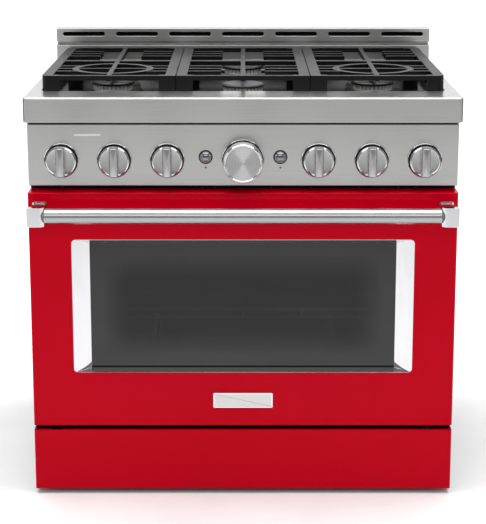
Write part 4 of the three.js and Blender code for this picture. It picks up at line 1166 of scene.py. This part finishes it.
@dataclass
class Controls:
    """The control panel, its bezels, knobs and buttons."""

    stem_hole: float = 5.5 * MM
    button_hole: float = 13 * MM
    knob: float = 32
    bezel: float = 37
    oven_bezel: float = 44

    def build(self) -> None:
        """Builds the panel and everything on it."""
        self.face = box("control_panel")[0].y
        self.knobs = [middle(f"burner_knob_{number}").x for number in range(1, 7)]
        self.height = middle("burner_knob_1").z
        self.panel()
        self.bezels()
        self.burner_knobs()
        self.oven_knob()
        self.buttons()
        self.prints()
        self.painted_fascia_shadow()
        redress("gas_manifold", BRASS)
        for number in range(1, 7):
            redress(f"valve_stem_{number}", BRASS)

    def panel(self) -> None:
        """A folded steel panel, open at the back, with holes for stems and buttons."""
        low, high = box("control_panel")
        panel = block("control_panel_sheet", low, high)
        round_edges(panel, lambda at, run: at.y < low.y + TINY, 2 * MM, 4)
        hollow_low = (low.x + SHEET, low.y + SHEET, low.z + SHEET)
        shape(panel, block("hollow", hollow_low, (high.x - SHEET, high.y + MM, high.z - SHEET)))
        holes = [(x, self.height, self.stem_hole) for x in (*self.knobs, 0.0)]
        holes += [(middle(n).x, middle(n).z, self.button_hole) for n in ("button_left", "button_right")]
        for x, z, radius in holes:
            shape(panel, rod("hole", radius, (x, low.y - MM, z), (x, low.y + SHEET + MM, z)))
        soften(panel, 0.4 * MM, 2)
        dress(panel, STEEL, replaces=("control_panel",))

    def bezel_ring(self, name: str, radius: float, bore: float, at: tuple) -> Piece:
        """A chromed ring that stands off the panel, round a black disc of painted shade behind the knob."""
        outline = [
            (bore, 0), (radius, 0), (radius, 2.2), (radius - 0.8, 3.9), (radius - 1.8, 4.4),
            (bore + 0.3, 3.6), (bore, 2.8), (bore, 0),
        ]
        ring = smooth(turned(name, outline, at, Axis.FORWARD, 72), 50)
        # Painted shade: a thin black disc on the panel stands in for the shade in the gap round the knob.
        painted_shade_disc = turned("painted_shade_disc", [(8, 0.1), (bore + 0.4, 0.1), (bore + 0.4, 0.9), (8, 0.9), (8, 0.1)], at, Axis.FORWARD, 48)
        ring.data.materials.append(CHROME.made())
        painted_shade_disc.data.materials.append(CHROME.made())
        paint_faces(painted_shade_disc, BLACK_RUBBER_AND_PAINTED_SHADE.made(), lambda at, normal: True)
        return gather([ring, painted_shade_disc], name)

    def bezels(self) -> None:
        """A ring round each knob."""
        first = self.bezel_ring("bezel_1", self.bezel, self.knob + 2.6, (self.knobs[0], self.face, self.height))
        rings = [first]
        for number, x in enumerate(self.knobs[1:], start=2):
            rings.append(copy_to(first, f"bezel_{number}", (x - self.knobs[0], 0, 0)))
        radius = (box("oven_knob")[1].x - box("oven_knob")[0].x) / 2 / MM
        rings.append(self.bezel_ring("bezel_oven", self.oven_bezel + 1, radius + 1, (0, self.face, self.height)))
        for ring in rings:
            dress(ring, CHROME)

    def burner_knobs(self) -> None:
        """Satin knobs with a polished rim and a crowned grip bar."""
        low, high = box("burner_knob_1")
        centre = Vector((self.knobs[0], high.y, self.height))
        r, depth = self.knob, (high.y - low.y) / MM
        disc_t, grip = 12, 19 * MM
        disc = turned(
            "burner_knob_1_turning",
            [(0, 0), (r - 1, 0), (r, 1), (r, disc_t - 3), (r - 0.8, disc_t - 1), (r - 3, disc_t), (r - 4, disc_t - 0.8), (0, disc_t - 0.8)],
            centre, Axis.FORWARD, 72,
        )
        bar = turned(
            "grip", [(0, 1), (r - 0.5, 1), (r - 0.5, depth - 4), (r - 2, depth - 1.2), (r - 5, depth), (0, depth)],
            centre, Axis.FORWARD, 72,
        )
        grip_low = (centre.x - grip / 2, low.y - MM, low.z - MM)
        slab = block("slab", grip_low, (centre.x + grip / 2, high.y, high.z + MM))
        round_edges(slab, lambda at, run: abs(run.z) > 0.9 and at.y < low.y, 8 * MM, 8)
        shape(bar, slab, Joining.KEEP_COMMON)
        shape(disc, bar, Joining.FUSE)
        bore = rod("bore", 4.5 * MM, (centre.x, high.y - 18 * MM, centre.z), (centre.x, high.y + MM, centre.z))
        shape(disc, bore)
        soften(disc, 0.5 * MM, 2, 40)
        disc.data.materials.append(KNOB_STEEL.made())

        def polished(at: Vector, normal: Vector) -> bool:
            radius = math.hypot(at.x - centre.x, at.z - centre.z) / MM
            return radius > r - 4.2 and at.y > centre.y - (disc_t + 1) * MM

        paint_faces(disc, CHROME.made(), polished)
        knobs = [disc]
        for number, x in enumerate(self.knobs[1:], start=2):
            knobs.append(copy_to(disc, f"burner_knob_{number}_turning", (x - self.knobs[0], 0, 0)))
        for number, knob in enumerate(knobs, start=1):
            node = f"burner_knob_{number}"
            dress(knob, KNOB_STEEL, node, (node,))

    def oven_knob(self) -> None:
        """The large knob: a spun face inside a bright rim."""
        low, high = box("oven_knob")
        r = (high.x - low.x) / 2 / MM
        back = self.face - 5 * MM
        depth = (back - low.y) / MM
        outline = [
            (0, 0), (r - 1, 0), (r, 1), (r, depth - 5), (r - 0.6, depth - 2), (r - 2, depth - 0.5), (r - 3.2, depth),
            (r - 4.4, depth - 0.4), (r - 5.6, depth - 1.6), (0, depth - 1.6),
        ]
        knob = turned("oven_knob_turning", outline, (0, back, self.height), Axis.FORWARD, 96)
        shaft = rod("shaft", 4 * MM, (0, back - 4 * MM, self.height), (0, high.y, self.height), 24)
        shape(knob, shaft, Joining.FUSE)
        smooth(knob, 40)
        knob.data.materials.append(CHROME.made())
        paint_faces(knob, SPUN.made(), lambda at, normal: normal.y < -0.9 and math.hypot(at.x, at.z - self.height) < (r - 5.5) * MM)
        dress(knob, CHROME, "oven_knob", ("oven_knob",))

    def buttons(self) -> None:
        """Domed chromed buttons in dark collars."""
        low, high = box("button_left")
        at = middle("button_left")
        r = (high.x - low.x) / 2 / MM
        depth = (high.y - low.y) / MM
        outline = [
            (0, 0), (r, 0), (r, depth - 5.5), (r - 0.5, depth - 4), (r - 1.6, depth - 3.2), (r - 2.6, depth - 3.4),
            (r - 4.5, depth - 1.8), (r - 7, depth - 0.6), (3, depth - 0.1), (0, depth),
        ]
        left = smooth(turned("button_left_dome", outline, (at.x, high.y, at.z), Axis.FORWARD, 56), 50)
        collar = [(r + 0.6, 0), (r + 2.2, 0), (r + 2.2, 1.4), (r + 1.4, 2.2), (r + 0.6, 2), (r + 0.6, 0)]
        ring = smooth(turned("button_collar_left", collar, (at.x, self.face, at.z), Axis.FORWARD, 48), 50)
        apart = (middle("button_right").x - at.x, 0, 0)
        for piece, name, body, finish, slot in (
            (left, "button_right_dome", "button", SMOKED, "polished_chrome"),
            (ring, "button_collar_right", "", BLACK_RUBBER_AND_PAINTED_SHADE, "knob_metal"),
        ):
            twin = copy_to(piece, name, apart)
            for one, side in ((piece, "left"), (twin, "right")):
                node = f"button_{side}"
                dress(one, finish, node if body else Body.RANGE, (node,) if body else ())

    def painted_fascia_shadow(self) -> None:
        """A black strip of painted shadow on the top of the panel, where the deck's front edge overhangs it."""
        low, high = box("control_panel")
        side = 3 * MM
        # Painted shadow: a black strip where the deck's overhang shades the panel.
        strip = block("painted_fascia_shadow_strip", (low.x + side, low.y - MM, high.z - 2.3 * side), (high.x - side, low.y, high.z))
        dress(soften(strip, 0.3 * MM), BLACK_RUBBER_AND_PAINTED_SHADE)

    def prints(self) -> None:
        """Two pilot dots under the buttons and a short printed line on the fascia's left."""
        dots = []
        for node in ("button_left", "button_right"):
            at = (middle(node).x, self.face, middle(node).z - 22.4 * MM)
            dots.append(turned("dot", [(0, 0), (1.9, 0), (1.7, 0.5), (0, 0.8)], at, Axis.FORWARD, 20))
        dress(smooth(gather(dots, "pilot_dots"), 50), BLACK_RUBBER_AND_PAINTED_SHADE)
        low = Vector((-352 * MM, self.face - 0.25 * MM, self.height + 51.6 * MM))
        line = block("printed_line", low, low + Vector((55 * MM, 0.25 * MM, 4 * MM)))
        round_edges(line, along(Axis.FORWARD), 1.6 * MM, 4)
        dress(line, PRINT)


# ---------------------------------------------------------------- door


@dataclass
class Door:
    """The oven door with its skin, window, handle, badge and hinges."""

    window_corner: float = 9 * MM
    window_size: tuple = (722 * MM, 292 * MM)
    window_drop: float = 100.6 * MM
    funnel: tuple = (36 * MM, 12 * MM, 4 * MM)
    trim_depth: float = 25 * MM
    trim_wall: float = 2.5 * MM
    badge: tuple = (127 * MM, 33 * MM)
    badge_drop: float = 454 * MM

    def build(self) -> None:
        """Builds the door's pieces."""
        self.low, self.high = box("door_panel")
        top = self.high.z - self.window_drop
        half = self.window_size[0] / 2
        self.window = (Vector((-half, 0, top - self.window_size[1])), Vector((half, 0, top)))
        self.skin()
        self.trim()
        self.handle()
        self.nameplate()
        self.inner_screws()
        redress("outer_glass", TINTED)
        redress("inner_glass", CLEAR)
        redress("door_inner_panel", OVEN)
        for side in ("left", "right"):
            redress(f"door_hinge_{side}", ZINC)

    def skin(self) -> None:
        """The red pan with soft front edges and the window opening."""
        low, high = self.low, self.high
        skin = block("door_skin", low, high)
        round_edges(skin, lambda at, run: at.y < low.y + TINY, 3.5 * MM, 6)
        hollow_low = (low.x + SHEET, low.y + SHEET, low.z + SHEET)
        shape(skin, block("hollow", hollow_low, (high.x - SHEET, high.y + MM, high.z - SHEET)))
        a, b = self.window
        opening = block("opening", (a.x, low.y - MM, a.z), (b.x, low.y + SHEET + MM, b.z))
        round_edges(opening, along(Axis.FORWARD), self.window_corner, 8)
        shape(skin, opening)
        for side in ("left", "right"):
            hinge = box(f"door_hinge_{side}")
            x = middle(f"door_hinge_{side}").x
            slot_low = (x - 6 * MM, high.y - 21 * MM, low.z - MM)
            shape(skin, block("slot", slot_low, (x + 6 * MM, high.y - 3 * MM, low.z + SHEET + MM)))
            LOG.info("hinge %s stands %.3f m high", side, hinge[1].z)
        soften(skin, 0.6 * MM, 3)
        dress(skin, RED, Body.DOOR, ("door_panel",))

    def tapered(self, name: str, grow: float, front: float, back: float, cover: float) -> Piece:
        """A block that narrows from the window opening to the glass."""
        a, b = self.window
        side, top, bottom = self.funnel
        cone = block(name, (a.x - grow, front, a.z - grow), (b.x + grow, back, b.z + grow))
        target_x = (b.x - side + grow) / (b.x + grow)
        height = b.z - a.z + 2 * grow
        inner = height - top - bottom
        with editing(cone):
            pick_faces(cone, lambda at, normal: normal.y > 0.9)
            bpy.ops.transform.resize(value=(target_x, 1, inner / height))
            bpy.ops.transform.translate(value=(0, 0, (bottom - top) / 2))
        LOG.debug("%s cover %.4f", name, cover)
        return cone

    def trim(self) -> None:
        """A polished funnel between the skin and the glass, with a flange behind the skin."""
        low, high = box("window_trim")
        front = low.y
        back = high.y
        trim = self.tapered("window_trim_funnel", self.trim_wall, front, back, 0)
        flange = block("flange", (low.x, front, low.z), (high.x, front + SHEET, high.z))
        round_edges(flange, along(Axis.FORWARD), 6 * MM)
        shape(trim, flange, Joining.FUSE)
        mouth = self.tapered("mouth", 0.0, self.low.y, back + TINY, 0)
        shape(trim, mouth)
        soften(trim, 0.5 * MM, 2)
        dress(trim, CHROME, Body.DOOR, ("window_trim",))

    def handle(self) -> None:
        """A round bar between two polished brackets on posts."""
        low, high = box("handle_bar")
        at = middle("handle_bar")
        bar = rod("handle_bar_tube", (high.z - low.z) / 2, (low.x, at.y, at.z), (high.x, at.y, at.z), 96)
        soften(bar, 1.0 * MM, 3)
        dress(bar, STEEL_UPRIGHT, Body.DOOR, ("handle_bar",))
        for side, name in ((-1, "left"), (1, "right")):
            self.bracket(side, f"handle_bracket_{name}")

    def bracket(self, side: int, node: str) -> None:
        """A block chamfered towards the bar, on a post with a foot on the door."""
        low, high = box(node)
        middle_x = (low.x + high.x) / 2
        head = block(node + "_block", low, (high.x, low.y + 34 * MM, high.z))
        inner = -side
        round_edges(
            head, lambda at, run: abs(run.z) > 0.9 and at.y < low.y + TINY and (at.x - middle_x) * inner > 0, 7 * MM, 1
        )
        z = (low.z + high.z) / 2
        post = block("post", (middle_x - 11 * MM, low.y + 33 * MM, z - 13 * MM), (middle_x + 11 * MM, high.y, z + 13 * MM))
        round_edges(post, along(Axis.FORWARD), 4 * MM, 5)
        shape(head, post, Joining.FUSE)
        foot = block("foot", (middle_x - 15 * MM, high.y - 3 * MM, z - 17 * MM), (middle_x + 15 * MM, high.y, z + 17 * MM))
        round_edges(foot, along(Axis.FORWARD), 4 * MM, 5)
        shape(head, foot, Joining.FUSE)
        soften(head, 1.2 * MM, 3)
        dress(head, CHROME, Body.DOOR, (node,))

    def nameplate(self) -> None:
        """A blank brushed plate in a bright bevelled frame, under the window."""
        width, height = self.badge
        z = self.high.z - self.badge_drop
        face = self.low.y
        plate = block("badge_plate", (-width / 2, face - 2.5 * MM, z - height / 2), (width / 2, face + TINY, z + height / 2))
        round_edges(plate, along(Axis.FORWARD), 2 * MM, 4)
        with editing(plate):
            pick_faces(plate, lambda at, normal: normal.y < -0.9)
            bpy.ops.mesh.inset(thickness=2.6 * MM)
            bpy.ops.mesh.extrude_region_move(TRANSFORM_OT_translate={"value": (0, 1.0 * MM, 0)})
        soften(plate, 0.5 * MM, 3)
        plate.data.materials.append(CHROME.made())
        limit = (width / 2 - 2.7 * MM, height / 2 - 2.7 * MM)
        paint_faces(
            plate, STEEL.made(),
            lambda at, normal: normal.y < -0.9 and abs(at.x) < limit[0] and abs(at.z - z) < limit[1],
        )
        dress(plate, CHROME, Body.DOOR)

    def inner_screws(self) -> None:
        """Screws round the door's inner panel."""
        low, high = box("door_inner_panel")
        first = None
        screws = []
        for x in (low.x + 14 * MM, -0.22, 0.0, 0.22, high.x - 14 * MM):
            for z in (low.z + 16 * MM, high.z - 16 * MM):
                outline = [(0, 0), (4.5, 0), (4, 0.8), (2.5, 1.4), (0, 1.6)]
                if first is None:
                    first = Vector((x, high.y, z))
                    at = (x, high.y, z)
                    head = turned("screw", [(r, -h) for r, h in outline], at, Axis.FORWARD, 20)
                    screws.append(smooth(head, 40))
                else:
                    screws.append(copy_to(screws[0], "screw", Vector((x, high.y, z)) - first))
        dress(gather(screws, "door_inner_screws"), CHROME, Body.DOOR)


# ---------------------------------------------------------------- studio


@dataclass
class Studio:
    """A pale sweep, soft lights and the camera."""

    camera_ahead: float = 3.25
    camera_height: float = 1.34
    pitch: float = 12.3
    lens: float = 109.3
    shift: float = -0.10

    def build(self) -> None:
        """Builds the studio round the range."""
        self.sweep()
        self.camera()
        self.world()
        self.lamp("top light", (0, -0.2, 3.2), (0, 0, 0), (4.2, 3.2), 150)
        self.lamp("front light", (0, -4.6, 2.9), (62, 0, 0), (5.0, 2.0), 54)
        self.lamp("left light", (-3.4, -1.2, 1.6), (0, -78, 0), (2.0, 2.6), 20)
        self.lamp("right light", (3.4, -1.2, 1.6), (0, 78, 0), (2.0, 2.6), 14)
        self.lamp("wall light", (0, 1.4, 2.4), (62, 0, 0), (6.0, 1.0), 160)

    def sweep(self) -> None:
        """A floor that curves up into a backdrop."""
        floor = plate("sweep", (0, -3.0, -MM), (24, 13))
        with editing(floor, "EDGE"):
            pick_edges(floor, lambda at, run: at.y > 3)
            for step in range(10):
                angle = math.radians(90 * (step + 0.5) / 10)
                reach = 0.24 * 1.6
                move = (0, reach * math.cos(angle), reach * math.sin(angle))
                bpy.ops.mesh.extrude_region_move(TRANSFORM_OT_translate={"value": move})
            bpy.ops.mesh.extrude_region_move(TRANSFORM_OT_translate={"value": (0, 0, 7)})
        smooth(floor, 60)
        paper = Enamel("white paper", "#FFFFFF", 0.7, specular=0.1)
        floor.data.materials.append(paper.made())

    def camera(self) -> None:
        """The camera stands ahead of the door and looks slightly down."""
        data = bpy.data.cameras.new("camera")
        data.lens = self.lens
        data.sensor_width = 36
        data.shift_y = self.shift
        data.clip_end = 60
        camera = bpy.data.objects.new("camera", data)
        camera.location = (0, box("door_panel")[0].y - self.camera_ahead, self.camera_height)
        camera.rotation_euler = (math.radians(90 - self.pitch), 0, 0)
        bpy.context.collection.objects.link(camera)
        bpy.context.scene.camera = camera

    def world(self) -> None:
        """An even grey surround, and plain display of what is lit."""
        world = bpy.data.worlds.new("surround")
        world.use_nodes = True
        background = world.node_tree.nodes["Background"]
        background.inputs["Color"].default_value = (1, 1, 1, 1)
        background.inputs["Strength"].default_value = 0.24
        bpy.context.scene.world = world
        bpy.context.scene.view_settings.view_transform = "Standard"

    def lamp(self, name: str, at: tuple, turn: tuple, size: tuple, power: float) -> None:
        """A rectangular softbox.

        Args:
            name: Its name.
            at: Its centre in metres.
            turn: Its turn in degrees; unturned, it shines down.
            size: Its width and height.
            power: Its power in watts.
        """
        data = bpy.data.lights.new(name, "AREA")
        data.shape = "RECTANGLE"
        data.size, data.size_y = size
        data.energy = power
        lamp = bpy.data.objects.new(name, data)
        lamp.location = at
        lamp.rotation_euler = [math.radians(angle) for angle in turn]
        bpy.context.collection.objects.link(lamp)


def main() -> None:
    """Builds the studio and every sub-assembly in order, and reports them."""
    logging.basicConfig(level=logging.INFO, format="%(name)s: %(message)s")
    for assembly in (Studio(), Cabinet(), Oven(), Cooktop(), Burners(), Grates(), Controls(), Door()):
        LOG.info("building the %s", type(assembly).__name__.lower())
        assembly.build()


if __name__ == "__main__":
    main()
